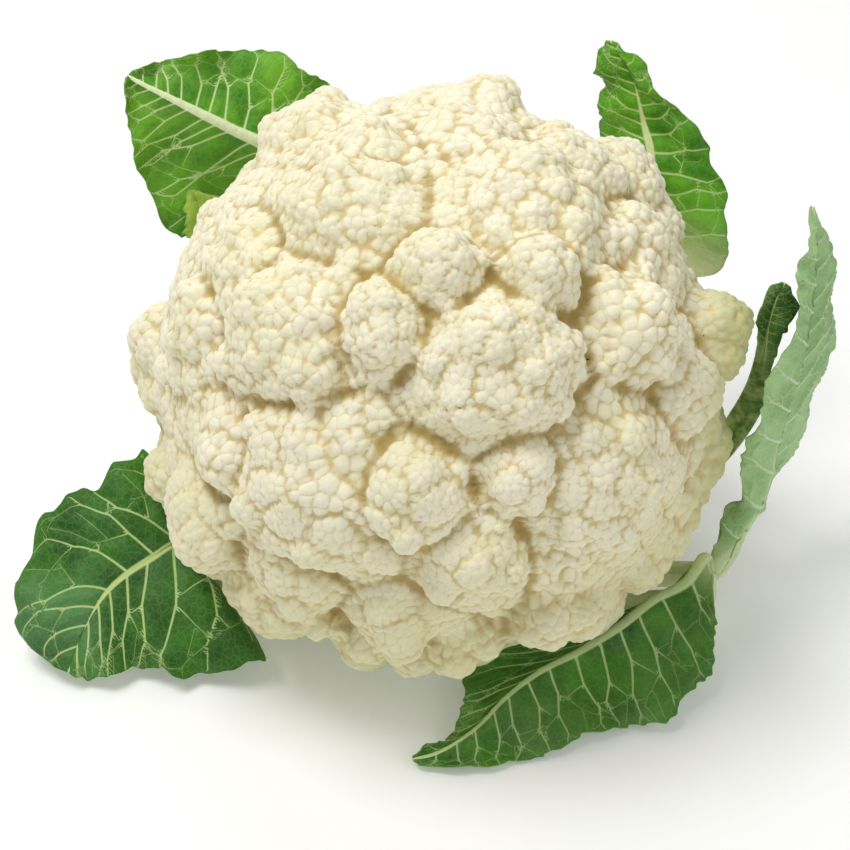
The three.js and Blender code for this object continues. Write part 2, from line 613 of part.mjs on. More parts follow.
function leafSolid(leaf, grow) {
  const grid = leafSurface(leaf, grow);
  const top = [];
  const bottom = [];
  grid.forEach((line, row) => {
    const t = row / leaf.rows;
    const middle = line[leaf.columns / 2];
    const depth = 2 * leaf.thick * (1 - 0.9 * smoothstep(0.1, 0.95, t));
    const breadth = leaf.wide * 0.75 * (1 - 0.7 * smoothstep(0.2, 1, t));
    const upper = [];
    const lower = [];
    line.forEach((point, column) => {
      const normal = gridNormal(grid, row, column).multiplyScalar(leaf.face);
      const off = point.distanceTo(middle) / breadth;
      const swell = depth * Math.exp(-off * off);
      upper.push(point.clone().addScaledVector(normal, BLADE_HALF + grow + 0.25 * swell));
      lower.push(point.clone().addScaledVector(normal, -BLADE_HALF - grow - 0.75 * swell));
    });
    top.push(upper);
    bottom.push(lower);
  });
  return gridSolid(top, bottom);
}

function material(colour, roughness) {
  return new THREE.MeshStandardMaterial({ color: colour, roughness, metalness: 0 });
}

function addMesh(group, name, solid, surface) {
  const mesh = new THREE.Mesh(toGeometry(solid), surface);
  mesh.name = name;
  group.add(mesh);
}

function cauliflower() {
  const group = new THREE.Group();
  const florets = allFlorets();
  const stemRoom = stemSolid(TOUCH_GAP);
  let curd = curdSolid(florets).subtract(stemRoom);
  for (const leaf of LEAVES) {
    const room = leafSolid(leaf, TOUCH_GAP);
    curd = curd.subtract(room);
    addMesh(group, leaf.name, leafSolid(leaf, 0).subtract(stemRoom), material(leaf.colour, 0.55));
  }
  addMesh(group, 'stem', stemSolid(0), material(0xdde3b4, 0.6));
  addMesh(group, 'curd', curd, material(0xf1e8cf, 0.75));
  return group;
}

export default cauliflower();
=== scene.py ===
"""A head of cauliflower with its leaves, on a pale floor under soft light."""

import math
import random

import bmesh
import bpy
import numpy as np
from bpy.props import FloatProperty, FloatVectorProperty, IntProperty, PointerProperty
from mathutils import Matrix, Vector
from mathutils.kdtree import KDTree


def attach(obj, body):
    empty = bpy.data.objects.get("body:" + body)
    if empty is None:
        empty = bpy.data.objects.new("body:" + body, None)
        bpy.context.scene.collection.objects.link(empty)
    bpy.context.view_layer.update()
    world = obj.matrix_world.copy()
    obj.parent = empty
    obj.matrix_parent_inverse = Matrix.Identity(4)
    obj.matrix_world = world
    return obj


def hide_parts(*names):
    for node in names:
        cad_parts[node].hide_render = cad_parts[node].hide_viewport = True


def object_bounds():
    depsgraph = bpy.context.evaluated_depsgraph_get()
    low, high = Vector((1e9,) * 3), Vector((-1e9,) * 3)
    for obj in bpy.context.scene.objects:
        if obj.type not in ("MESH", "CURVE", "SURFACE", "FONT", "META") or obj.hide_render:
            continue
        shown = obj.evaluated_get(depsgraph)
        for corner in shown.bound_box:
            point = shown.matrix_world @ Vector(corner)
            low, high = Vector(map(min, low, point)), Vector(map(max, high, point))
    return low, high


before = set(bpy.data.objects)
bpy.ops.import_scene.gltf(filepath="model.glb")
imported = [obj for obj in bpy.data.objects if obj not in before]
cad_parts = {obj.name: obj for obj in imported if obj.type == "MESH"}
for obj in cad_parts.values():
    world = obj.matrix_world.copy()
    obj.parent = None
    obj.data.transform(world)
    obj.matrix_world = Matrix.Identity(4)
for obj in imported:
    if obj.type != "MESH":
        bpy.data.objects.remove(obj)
CAD_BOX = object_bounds()

bl_info = {
    "name": "Cauliflower Head",
    "version": (1, 0, 0),
    "blender": (4, 5, 0),
    "location": "3D View > Sidebar > Cauliflower",
    "description": "Builds a cauliflower's curd, stem and leaves round its frame, with a studio",
    "category": "Object",
}

MM = 0.001
ROOT = "root"

# The head's main sizes in millimetres, and the eye that its places are told from.
HEAD_RADIUS = 87.0
HEAD_HEIGHT = 75.0
CORE_RADIUS = 78.0
CORE_BETWEEN_HEADS = 79.0
RIM_HEIGHT = 17.0
HOLLOW_RISE = 9.0
HOLLOW_INNER = 22.0
HOLLOW_OUTER = 60.0
EYE_ELEVATION = math.radians(38)
EYE_DISTANCE = 661.0
CENTRE = np.array((0.0, 0.0, HEAD_HEIGHT))
LOOK_UP = np.array((0.0, math.sin(EYE_ELEVATION), math.cos(EYE_ELEVATION)))
TO_EYE = np.array((0.0, -math.cos(EYE_ELEVATION), math.sin(EYE_ELEVATION)))
EYE = CENTRE + TO_EYE * EYE_DISTANCE

# Florets of the front: right and up of the head's middle as the eye sees them, radius, and how
# far each stands out of the head (minus: sunk in).
FRONT_FLORETS = [
    # crown, left
    (-28, 60, 10.5, 2), (-38, 53, 8.5, 0), (-25, 66, 8, 1), (-31, 53, 6, 3), (-16, 49.5, 7.5, 1),
    (-43, 46, 6.5, -1), (-32, 47, 5, 0), (-47.5, 56, 7, -2), (-19.5, 76, 8.5, -1),
    (-33, 73, 7.5, -2), (-7.5, 78.5, 8, -1), (-6.5, 69.5, 8, 0), (-1, 53, 8.5, 1),
    (-12, 64.5, 5, -2),
    # left side
    (-29.5, 34, 9.5, 3), (-40, 31.5, 5, 1), (-20.5, 39, 6.5, -1), (-17, 21, 11, 3),
    (-16, 12.5, 10.5, 2), (-36.5, 19, 7.5, 4), (-40.5, 2, 11.5, 4), (-33.5, 10, 5, 4),
    (-52, 7, 6, 2), (-53, 22.5, 11, 3), (-56, 35, 9, 1), (-46, 39, 6.5, 0), (-64.5, 22.5, 12, 2),
    (-64.5, 5.5, 10.5, 2), (-75, 25, 10, -1), (-80, 12.5, 8, -2), (-68.5, 36.5, 8, -2),
    (-77, -4, 9.5, -2), (-80, -14, 7, -3), (-22.5, 0.5, 6, -3),
    # crown, middle and right
    (5.5, 82.5, 8, -2), (18, 83.5, 10, -2), (32, 82, 9, -2), (8.5, 74, 6.5, -1),
    (19.5, 71.5, 9.5, 1), (31, 64.5, 12, 2), (39, 71.5, 8.5, 0), (19.5, 60, 6.5, 1),
    (9, 65, 6, 0), (15, 53, 6, 1), (4, 63, 4, -1), (21, 46, 7.5, 1), (29.5, 49.5, 5.5, 2),
    (36.5, 56, 5.5, 2), (42, 47, 9, 1), (50.5, 71.5, 8, -2), (56, 64.5, 9.5, -1), (46, 60, 7, 0),
    (59, 47, 9.5, 0), (71, 46, 9.5, -2), (74, 35, 8, -2), (64.5, 57.5, 7, -2),
    (32, 33.5, 13.5, 4), (42, 38, 7, 4), (1.5, 35, 12, 3), (14, 36, 4.5, -1), (-1.5, 26.5, 5, 2),
    (56, 39, 6, -1),
    # right side
    (63, 17, 14.5, 3), (54, 29.5, 7.5, 2), (65, 31.5, 7.5, 1), (54, 4, 8, 3), (66.5, 7, 9, 3),
    (73.5, 17, 7.5, 0), (46, 16, 6, -2), (85, 16, 10.5, 6), (80, -3, 11, 2), (86, 6, 7, 4),
    (78, -11, 8, -1),
    # middle
    (15.5, 11, 14.5, 6), (29.5, 19.5, 9, 4), (38.5, 8.5, 10, 5), (1.5, 7, 9, 2),
    (5.5, 19.5, 7, 2), (8.5, -7, 9.5, 4), (22.5, -7, 9.5, 6), (35, -7, 8.5, 4),
    (29.5, 3, 9.5, 7), (46, 1.5, 4.5, -2),
    # sunk between the large ones
    (-14, -4, 8, -7), (-7, -12.5, 7, -7), (-24, -7, 5.5, -6), (7, -21, 7, -6),
    (8.5, -28.5, 5.5, -5), (1.5, -17, 5, -8),
    # lower left
    (-28, -19, 10.5, 3), (-25, -38, 9, 3), (-6.5, -32, 11, 4), (-8.5, -45, 8.5, 3),
    (-43.5, -18, 9, 2), (-54.5, -17, 10, 1), (-64.5, -25, 9, 0), (-42, -33.5, 10.5, 3),
    (-56, -36.5, 10.5, 1), (-66, -45, 8.5, -1), (-52, -53, 10.5, 2), (-38, -50, 10, 3),
    (-24, -53, 9, 3), (-12.5, -59, 9, 3), (-61.5, -59, 8, -1), (-54.5, -66, 6.5, -1),
    (-42, -68.5, 9.5, 0), (-28, -67, 9.5, 1), (-35, -75.5, 6.5, -1), (-11, -80, 10, 0),
    (-21, -82, 8.5, -1), (-1.5, -74, 8.5, -1), (-17, -73, 7, -2),
    # lower middle
    (11, -56, 12, 3), (21, -59, 9.5, 2), (4, -64.5, 8.5, 1), (11, -40.5, 8, -1),
    (19.5, -46, 7.5, 0), (15.5, -67, 7.5, 0), (0, -53, 7, 0),
    # lower right
    (26.5, -29.5, 12, 2), (31, -39, 7.5, 1), (46, -18, 8, 3), (39, -22.5, 5.5, 0),
    (57.5, -5.5, 8.5, -1), (49, -4, 5, -5), (59, -18, 10, 3), (71.5, -14, 10, 1),
    (74, -28, 10, 0), (61.5, -31, 10.5, 3), (49, -31, 5.5, 3), (42, -43.5, 8.5, 3),
    (54.5, -45, 10, 3), (67, -45, 9.5, 0), (46, -53, 8, 1), (59, -53, 8, 0),
    (35, -60, 7.5, -6), (50.5, -62, 7.5, -4), (42, -64.5, 6, -5), (29.5, -50.5, 6, -3),
]

# The large heads that the front's florets stand on, told in the same way.
FRONT_HEADS = [
    (21, 4, 24, 5), (62, 16, 18, 3), (33, 58, 26, 1), (-28, 58, 20, 1), (1, 34, 14, 3),
    (33, 33, 14, 3), (-17, 17, 14, 3), (-48, 16, 22, 3), (-75, 18, 13, -1), (-44, -38, 28, 2),
    (-8, -38, 17, 3), (12, -58, 16, 1), (-14, -77, 14, -1), (55, -33, 26, 2), (28, -30, 13, 1),
    (66, 46, 14, -1), (78, -2, 14, 1), (86, 14, 12, 5), (12, 80, 15, -2), (46, 70, 15, -1),
    (-22, 74, 14, -2), (-66, -24, 15, 0), (-62, 36, 14, -1), (-46, -62, 16, 0),
]
HEAD_FLATNESS = 1.27
HEAD_SUNK = 2.0
BACK_HEADS = 44
BACK_HEADS_SEED = 3
BACK_HEADS_DRIFT = 0.6
BACK_HEAD_RADIUS = 17.0
BACK_HEAD_LIFT = 3
CLEAR_OF_FRONT = 0.93
LOWEST_HEAD = -0.55
HEAD_CREASE = 3.0
HEAD_ROUNDNESS = 0.95
HEAD_EDGE = 6
PARTING_START = 0.91
FAR_AWAY = 9.0
SUNK_FLORET = -4.0
FLORET_PROUD = 0.28

# Where the head is a little flat, beside the young leaf.
PRESSED = (-61, 17, 44)
PRESSED_WIDTH = 0.1
PRESSED_DEPTH = 8.0

# Florets that fill the back, the rim and small gaps of the front.
FILL_FLORETS = 300
FILL_SEED = 7
FILL_DRIFT = 0.5
FILL_RADIUS = 8.0
FILL_SPREAD = 4.5
FILL_LIFT = 4
FILL_SUNK = 2.0
FRONT_ROOM = 0.62
FILL_ROOM = 0.55
GOLDEN_TURN = math.pi * (3 - math.sqrt(5))
FLORET_DROOP = 5.0
LOWEST_FLORET = -0.78

# The skin: rounds of smoothing after each step, then its lobes and grains. Each has its seed,
# how far it stands out, how round it is, and how its size varies: waves over the head, their
# seed, smallest and largest share.
JOINED_ROUNDS = 6
PARTED_ROUNDS = 2
LOBED_ROUNDS = 1
NEAR_ROUNDS = 14
WIDE_ROUNDS = 260
NEAR_DEPTH = 1.1
WIDE_DEPTH = 6.0
SMOOTHING = 0.5
CREASE_START = 0.55
LOBE_TRIES = 60000
LOBE_SEED = 21
LOBE_RISE = 0.5
LOBE_ROUNDNESS = 0.86
LOBE_SIZES = (5.0, 11, 0.72, 1.3)
GRAIN_SEED = 22
GRAIN_RISE = 0.66
GRAIN_ROUNDNESS = 0.93
GRAIN_SIZES = (9.0, 12, 0.78, 1.35)

# The stem: height and radius from its cut face up, and what is on it.
STEM_PROFILE = [
    (0, 19.5), (1.5, 20.5), (5, 20), (9, 20.5), (13, 22.5), (17, 27), (20.5, 31.5), (23, 33),
    (25, 20),
]
STEM_RADIUS = 20.5
STEM_RINGS = 70
STEM_SIDES = 240
BRANCHES = 9
BRANCH_DEPTH = 0.07
SCARS = 7
SCAR_RISE = 1.1
CUT_ROUND = 0.5
CUT_HOLLOW = 0.15
CUT_RINGS = [k / 12 for k in range(1, 12)]

# How fine the meshes are, in millimetres, and small gaps.
VOXEL = 0.72
FINE_BLADE = 0.7
VEIN_STEP = 0.5
VEIN_ROOM = 1.5
VEIN_START = 0.9
VEIN_END = 0.96
VEIN_TAPER = 0.6
THINNEST_VEIN = 0.15
VEIN_HEADING = math.radians(50)
VEIN_TURN = 0.006
MOST_FORKS = 2
FORK_LIFE = 0.42
FORK_WIDTH = 0.7
FORK_BEND = 0.16
SKIN_ROOM = 0.4
FLOOR_GAP = 0.05
UNDERSIDE_TURN = -0.3
UNDERSIDE_BLEND = 0.2
UNDERSIDE_CALM = 0.85
FRONT_SHARE = 6.0
LUMP_WAVES = 12


def tone(red, green, blue):
    """A colour given in steps from 0 to 255 as the eye sees it, as linear values."""
    steps = (value / 255 for value in (red, green, blue))
    return tuple(v / 12.92 if v < 0.04 else ((v + 0.055) / 1.055) ** 2.4 for v in steps)


# How each leaf's margin, veins and colours differ.
GREEN = {
    "light": tone(106, 172, 34), "dark": tone(46, 112, 10), "rim": tone(66, 128, 20),
    # Blue-grey wax tone and its amount: partly the leaf's own wax, partly painted reflection.
    "wax_and_reflection_tone": tone(140, 182, 120), "wax_and_reflection": 0.15, "under": tone(120, 160, 96),
    "under_light": tone(150, 180, 130), "veins_tone": tone(190, 214, 140),
    "rib_tone": tone(214, 226, 165), "nick": 0.75, "nick_length": 1.9, "ruffle": 0.9, "vein": 0.5,
    "veins": 1.0, "puff": 0.7, "ridge": 0.5, "turned": False, "mesh": 1.0,
    "stalk_tone": tone(222, 230, 184),
}
LOOKS = {
    "leaf_back_left": {"light": tone(112, 180, 36), "dark": tone(48, 118, 12), "wax_and_reflection": 0.1,
                       "turned": True, "puff": -0.7, "ridge": 0.15,
                       "rib_tone": tone(232, 242, 198), "veins_tone": tone(206, 228, 158)},
    "leaf_young": {"light": tone(160, 190, 60), "dark": tone(105, 150, 35), "veins": 0.45,
                   "vein": 0.25, "mesh": 0.7, "nick": 1.7, "nick_length": 1.3, "puff": 0.4},
    "leaf_back_right": {"light": tone(104, 176, 26), "dark": tone(40, 112, 6), "ruffle": 1.3,
                        "wax_and_reflection": 0.08},
    "leaf_right_small": {"light": tone(62, 118, 35), "dark": tone(34, 84, 18), "veins": 0.5,
                         "vein": 0.3, "mesh": 0.8, "stalk_tone": tone(96, 140, 60)},
    "leaf_right": {"light": tone(70, 130, 60), "dark": tone(48, 105, 45),
                   "under": tone(138, 180, 112), "under_light": tone(172, 208, 146),
                   "veins_tone": tone(204, 226, 184), "rib_tone": tone(200, 222, 170),
                   "veins": 1.8},
    "leaf_front": {"light": tone(78, 142, 36), "dark": tone(28, 84, 16), "wax_and_reflection": 0.25,
                   "turned": True, "puff": -0.7, "ridge": 0.15, "veins": 1.3,
                   "veins_tone": tone(190, 214, 150),
                   "rib_tone": tone(200, 222, 160)},
    "leaf_left": {"light": tone(62, 122, 36), "dark": tone(24, 74, 14), "wax_and_reflection": 0.36,
                  "wax_and_reflection_tone": tone(120, 164, 118), "rib_tone": tone(196, 216, 138), "veins": 1.35},
    "leaf_bract": {"light": tone(120, 165, 60), "dark": tone(80, 130, 40), "veins": 0.4,
                   "vein": 0.2, "mesh": 0.6, "puff": 0.2, "nick": 0.3},
}

# The studio, in metres, and the photograph's frame.
FLOOR_SIZE = 6.0
FLOOR_DROP = 0.0003
FLOOR_GLOW = 0.13
SKY_LIGHT = 0.36
LAMPS = [
    ("key", (-0.4, -0.1, 1.15), 0.6, 7.6),
    ("fill", (0.9, -0.7, 0.8), 1.0, 2.7),
    ("back", (-0.1, 0.8, 1.0), 0.8, 3.2),
]
SENSOR = 36.0
FRAME_PIXELS = 850
PIXEL = 0.28
HEAD_PIXEL = (435, 380)


def at(x, y, z):
    """A place in millimetres."""
    return np.array((x, y, z), float)


def sight(right, up):
    """The way from the eye to a point right and up of the head's middle."""
    target = CENTRE + LOOK_UP * up
    target[0] += right
    return target - EYE


def seen(right, up, height):
    """The place at a height above the floor that the eye sees right and up of the head's middle."""
    ray = sight(right, up)
    return EYE + ray * ((height - EYE[2]) / ray[2])


# One leaf: a stalk, then stations of rib, one edge, other edge, from base to tip, as in the frame.
LEAVES = [
    {
        "name": "leaf_back_left", "thick": 4.2, "wide": 6, "wave": 1.6, "waves": 6, "teeth": 8,
        "tooth": 0.03, "bow": 2, "face": 1, "slot": "leaf_green",
        "stalk": [at(-9, 14, 7), at(-27, 50, 8.5), at(-40, 79, 27), at(-44, 86, 55)],
        "stations": [
            [at(-45, 88, 76), at(-33, 90, 78), at(-58, 88, 62)],
            [seen(-44.8, 63.8, 99), seen(-27, 76, 108), seen(-60.5, 40, 65)],
            [seen(-57.4, 70.6, 108), seen(-36, 87.5, 120), seen(-73, 41, 73)],
            [seen(-68.6, 76.2, 115), seen(-52, 92.4, 125), seen(-81, 54, 90)],
            [seen(-77, 80.4, 120), seen(-68.6, 91.3, 128), seen(-84.8, 66, 106)],
            [seen(-82.6, 83.2, 123), seen(-77.6, 89, 127), seen(-86.5, 76.5, 117)],
            [seen(-86.2, 85.2, 125), seen(-84.6, 86.6, 125.5), seen(-87, 82.5, 124)],
        ],
    },
    {
        "name": "leaf_young", "thick": 1.7, "wide": 2.6, "wave": 0.8, "waves": 4, "teeth": 6,
        "tooth": 0.08, "bow": 1, "face": 1, "slot": "leaf_young",
        "stalk": [at(-18, 6, 7), at(-45, 34, 8), at(-66, 56, 26), at(-70, 62, 56)],
        "stations": [
            [seen(-61, 40, 76), seen(-64.5, 38.5, 75), seen(-57.5, 42, 77)],
            [seen(-63.4, 44.5, 82), seen(-69.8, 40, 78), seen(-55.7, 48, 84)],
            [seen(-66.4, 49.6, 88), seen(-69.8, 46, 85), seen(-60.5, 51.4, 89)],
            [seen(-68.8, 53, 91.5), seen(-69.4, 52, 91), seen(-67.4, 53.2, 92)],
        ],
    },
    {
        "name": "leaf_back_right", "thick": 3.8, "wide": 5.5, "wave": 2.6, "waves": 5, "teeth": 9,
        "tooth": 0.05, "bow": 2, "face": 1, "slot": "leaf_green",
        "stalk": [at(8, 14, 7), at(34, 51, 8.5), at(56, 75, 27), at(62, 80, 52)],
        "stations": [
            [at(63, 80, 72), at(52, 86, 74), seen(80.4, 31, 66)],
            [seen(61, 60, 97), seen(47.6, 58.8, 92), seen(81.5, 44, 81)],
            [seen(59, 71.4, 108), seen(46.4, 72.8, 105), seen(80, 58, 93)],
            [seen(57.4, 78.4, 116), seen(46.2, 78.4, 113), seen(72.5, 70, 108)],
            [seen(56, 84, 122), seen(46, 85.4, 120), seen(64.5, 80, 119)],
            [seen(53.2, 90.2, 129), seen(46.3, 91.3, 128), seen(57, 87.6, 127)],
            [seen(49.3, 94.8, 133.5), seen(47.7, 94.9, 133.4), seen(51.2, 94.4, 133.6)],
        ],
    },
    {
        "name": "leaf_right_small", "thick": 2.6, "wide": 4, "wave": 1, "waves": 3, "teeth": 5,
        "tooth": 0.06, "bow": 1, "face": 1, "slot": "leaf_green",
        "stalk": [at(17, 7, 7), at(50, 18, 8), at(78, 24, 20), at(92, 24, 44)],
        "stations": [
            [seen(92, 6, 68), seen(89.6, 7, 69), seen(94.6, 4.4, 67)],
            [seen(94, 17, 83), seen(91, 19, 85), seen(98.3, 13.4, 81)],
            [seen(96, 23.6, 92), seen(93.4, 25.8, 93), seen(101.2, 21.4, 90)],
            [seen(98, 27, 96.5), seen(96.8, 27.4, 96.6), seen(99.6, 26, 96)],
        ],
    },
    {
        "name": "leaf_right", "thick": 3.6, "wide": 5, "wave": 1.4, "waves": 6, "teeth": 9,
        "tooth": 0.04, "bow": -1.5, "face": -1, "slot": "leaf_pale",
        "stalk": [at(19, -2, 7), at(48, -3, 8), at(70, -9, 12)],
        "stations": [
            [seen(78.1, -51, 20), seen(76, -50.4, 20.5), seen(80.4, -51.4, 18)],
            [seen(82.6, -42, 27), seen(79.4, -41.4, 29), seen(85.4, -43, 21)],
            [seen(87.4, -35, 35), seen(84.6, -33.4, 38), seen(90.4, -36, 24)],
            [seen(91, -28, 45), seen(85.4, -27, 49), seen(93.6, -29, 29)],
            [seen(94, -16.8, 60), seen(87.6, -17.4, 63), seen(101, -17.4, 40)],
            [seen(98, -5.6, 76), seen(91.8, -5.9, 79), seen(105.8, -6.2, 54)],
            [seen(102, 7, 91), seen(97.4, 7, 94), seen(109.5, 6.4, 70)],
            [seen(104.6, 21, 106), seen(101.4, 20.4, 108), seen(112, 21, 90)],
            [seen(106, 35, 121), seen(103.4, 34.4, 122), seen(110.8, 34.4, 112)],
            [seen(105.6, 48.6, 136), seen(104.8, 48, 135.4), seen(106.4, 47.6, 134)],
        ],
    },
    {
        "name": "leaf_front", "thick": 3.8, "wide": 5, "wave": 1.3, "waves": 6, "teeth": 10,
        "tooth": 0.035, "bow": 1.5, "face": 1, "slot": "leaf_green",
        "stalk": [at(14, -12, 7), at(42, -20, 7.5), at(66, -24, 10.5), at(77, -26, 18)],
        "stations": [
            [seen(75.6, -50, 28), seen(73.6, -51.4, 25), seen(77.4, -51.6, 27)],
            [seen(70.8, -56.6, 25), seen(66, -57.4, 19), seen(78.4, -64, 23)],
            [seen(61.6, -61.6, 20), seen(55, -64.6, 14.5), seen(79, -74.2, 17)],
            [seen(51.8, -69.2, 16.5), seen(37.8, -67.8, 10.5), seen(74.2, -85.1, 9)],
            [seen(40.6, -76.2, 13), seen(21, -75.6, 8), seen(63, -96, 4)],
            [seen(29.4, -82, 10.5), seen(9.8, -79.8, 6.5), seen(51.8, -96.5, 4)],
            [seen(20.4, -88.8, 8), seen(7.6, -90, 6), seen(39, -101.4, 3.4)],
            [seen(11.2, -98, 6), seen(5, -98, 5.4), seen(23.8, -106, 2.8)],
            [seen(1.4, -104.2, 4.4), seen(-1.2, -101.8, 4.6), seen(8.4, -108.6, 2.6)],
            [seen(-6.2, -106.4, 3), seen(-6.4, -105.4, 3.1), seen(-4.2, -108, 2.6)],
        ],
    },
    {
        "name": "leaf_left", "thick": 4, "wide": 5.5, "wave": 1.6, "waves": 5, "teeth": 9,
        "tooth": 0.03, "bow": 2, "face": -1, "slot": "leaf_green",
        "stalk": [at(-19, -2, 7), at(-44, -6, 8), at(-60, -9, 11)],
        "stations": [
            [at(-68, -12, 17), at(-70, 2, 24), at(-56, -26, 11)],
            [seen(-72.5, -46.5, 26), seen(-80.6, -20, 42), seen(-48.4, -79, 9.5)],
            [seen(-79.8, -50.4, 26), seen(-88.2, -23.6, 43), seen(-58.8, -80.9, 7)],
            [seen(-86.8, -54.9, 24), seen(-96, -30, 40), seen(-69.4, -83.4, 5)],
            [seen(-91.6, -59.4, 21), seen(-106.4, -35, 35), seen(-78.4, -80.5, 5.5)],
            [seen(-94.6, -63.6, 18), seen(-112.6, -44.8, 28), seen(-85.4, -81, 5.5)],
            [seen(-97.4, -68.9, 14), seen(-117, -58.8, 19), seen(-91.6, -83, 4.5)],
            [seen(-100.2, -75, 10), seen(-116.4, -70.6, 11), seen(-97.2, -83.4, 4.2)],
            [seen(-102.6, -82, 5.5), seen(-106.6, -80.4, 6), seen(-100.6, -83.4, 4.4)],
        ],
    },
    {
        "name": "leaf_bract", "thick": 1.2, "wide": 1.8, "wave": 0.4, "waves": 2, "teeth": 3,
        "tooth": 0.1, "bow": 0.4, "face": 1, "slot": "leaf_young",
        "stalk": [at(4, -16, 8), at(16, -26, 9)],
        "stations": [
            [at(23.5, -29, 10.5), at(20.5, -30.5, 11), at(26.5, -27.5, 10.5)],
            [at(26, -32.5, 12.5), at(23.4, -34, 12.6), at(28.6, -31, 12.6)],
            [at(27.8, -34.6, 14.6), at(27, -35.2, 14.6), at(28.8, -34.2, 14.6)],
        ],
    },
]


def smoothstep(low, high, value):
    """0 below low, 1 above high, and a smooth rise between them."""
    x = np.clip((np.asarray(value, float) - low) / (high - low), 0, 1)
    return x * x * (3 - 2 * x)


def unit(vectors):
    """Vectors of length 1 in the same directions."""
    length = np.linalg.norm(vectors, axis=-1, keepdims=True)
    return vectors / np.maximum(length, 1e-9)


class Shade:
    """A shader value. Arithmetic on it adds Math nodes."""

    def __init__(self, finish, socket):
        self.finish = finish
        self.socket = socket

    def math(self, operation, *values):
        """This Math node's result."""
        inputs = dict(enumerate(values))
        return self.finish.node("ShaderNodeMath", {"operation": operation}, inputs)

    def __add__(self, other):
        return self.math("ADD", self, other)

    __radd__ = __add__

    def __sub__(self, other):
        return self.math("SUBTRACT", self, other)

    def __rsub__(self, other):
        return self.math("SUBTRACT", other, self)

    def __mul__(self, other):
        return self.math("MULTIPLY", self, other)

    __rmul__ = __mul__

    def __truediv__(self, other):
        return self.math("DIVIDE", self, other)

    def __pow__(self, other):
        return self.math("POWER", self, other)

    def __abs__(self):
        return self.math("ABSOLUTE", self)

    def above(self, low, high):
        """0 below low, 1 above high, and a smooth rise between them."""
        ranges = {"interpolation_type": "SMOOTHSTEP"}
        return self.finish.node("ShaderNodeMapRange", ranges, {0: self, 1: low, 2: high})


class Finish:
    """A material, with its nodes made from plain calls."""

    def __init__(self, name):
        self.material = bpy.data.materials.new(name)
        self.material.use_nodes = True
        self.tree = self.material.node_tree
        self.tree.nodes.clear()

    def node(self, kind, settings=None, inputs=None, output=0):
        """Adds a node with its settings first, then its inputs, and gives one output."""
        made = self.tree.nodes.new(kind)
        for key, value in (settings or {}).items():
            setattr(made, key, value)
        for key, value in (inputs or {}).items():
            socket = made.inputs[key]
            if isinstance(value, Shade):
                self.tree.links.new(value.socket, socket)
            else:
                socket.default_value = value
        return Shade(self, made.outputs[output]) if made.outputs else None

    def place(self):
        """The place on the object, in metres."""
        return self.node("ShaderNodeTexCoord", output="Object")

    def noise(self, size_mm, detail=3.0, roughness=0.5, place=None):
        """Soft noise from 0 to 1 whose lumps are about that size."""
        inputs = {
            "Vector": place or self.place(),
            "Scale": 1 / (size_mm * MM),
            "Detail": detail,
            "Roughness": roughness,
        }
        return self.node("ShaderNodeTexNoise", inputs=inputs, output="Fac")

    def cells(self, size_mm, feature="F1", place=None):
        """Distances in a pattern of cells of about that size."""
        inputs = {"Vector": place or self.place(), "Scale": 1 / (size_mm * MM)}
        return self.node("ShaderNodeTexVoronoi", {"feature": feature}, inputs, "Distance")

    def separate(self, vector, axis):
        """One part of a vector."""
        return self.node("ShaderNodeSeparateXYZ", inputs={"Vector": vector}, output=axis)

    def scaled(self, vector, factors):
        """A vector with each part multiplied."""
        return self.node("ShaderNodeVectorMath", {"operation": "MULTIPLY"}, {0: vector, 1: factors})

    def length(self, vector):
        """A vector's length."""
        settings = {"operation": "LENGTH"}
        return self.node("ShaderNodeVectorMath", settings, {0: vector}, "Value")

    def warped(self, size_mm, amount_mm):
        """The place, shifted about by noise."""
        inputs = {"Vector": self.place(), "Scale": 1 / (size_mm * MM), "Detail": 2.0}
        drift = self.node("ShaderNodeTexNoise", inputs=inputs, output="Color")
        amount = (amount_mm * MM,) * 3
        settings = {"operation": "MULTIPLY_ADD"}
        return self.node("ShaderNodeVectorMath", settings, {0: drift, 1: amount, 2: self.place()})

    def attribute(self, name):
        """A number stored on the mesh."""
        settings = {"attribute_type": "GEOMETRY", "attribute_name": name}
        return self.node("ShaderNodeAttribute", settings, output="Fac")

    def mix(self, factor, one, other):
        """A colour between two, each of them a shade or three numbers."""
        ends = [end if isinstance(end, Shade) else (*end, 1.0) for end in (one, other)]
        inputs = {0: factor, 6: ends[0], 7: ends[1]}
        return self.node("ShaderNodeMix", {"data_type": "RGBA"}, inputs, 2)

    def bump(self, height, depth_mm, strength=1.0):
        """A normal from a height between 0 and 1."""
        inputs = {"Strength": strength, "Distance": depth_mm * MM, "Height": height}
        return self.node("ShaderNodeBump", inputs=inputs, output="Normal")

    def surface(self, inputs):
        """Ends the material in a Principled shader with these inputs."""
        shader = self.node("ShaderNodeBsdfPrincipled", inputs=inputs, output="BSDF")
        self.node("ShaderNodeOutputMaterial", inputs={"Surface": shader})
        return self.material


# Meshes.


def new_mesh(name, places, faces, numbers=None, normals=None):
    """A mesh from numpy places in millimetres and a list or array of faces of one size."""
    mesh = bpy.data.meshes.new(name)
    faces = np.asarray(faces, np.int32)
    sides = faces.shape[1]
    mesh.vertices.add(len(places))
    mesh.vertices.foreach_set("co", (np.asarray(places) * MM).astype(np.float32).ravel())
    mesh.loops.add(faces.size)
    mesh.loops.foreach_set("vertex_index", faces.ravel())
    mesh.polygons.add(len(faces))
    mesh.polygons.foreach_set("loop_start", np.arange(len(faces), dtype=np.int32) * sides)
    mesh.update(calc_edges=True)
    mesh.validate()
    for key, values in (numbers or {}).items():
        layer = mesh.attributes.new(key, "FLOAT", "POINT")
        layer.data.foreach_set("value", np.asarray(values, np.float32).ravel())
    mesh.polygons.foreach_set("use_smooth", [True] * len(mesh.polygons))
    if normals is not None:
        mesh.normals_split_custom_set_from_vertices(normals.tolist())
    return mesh


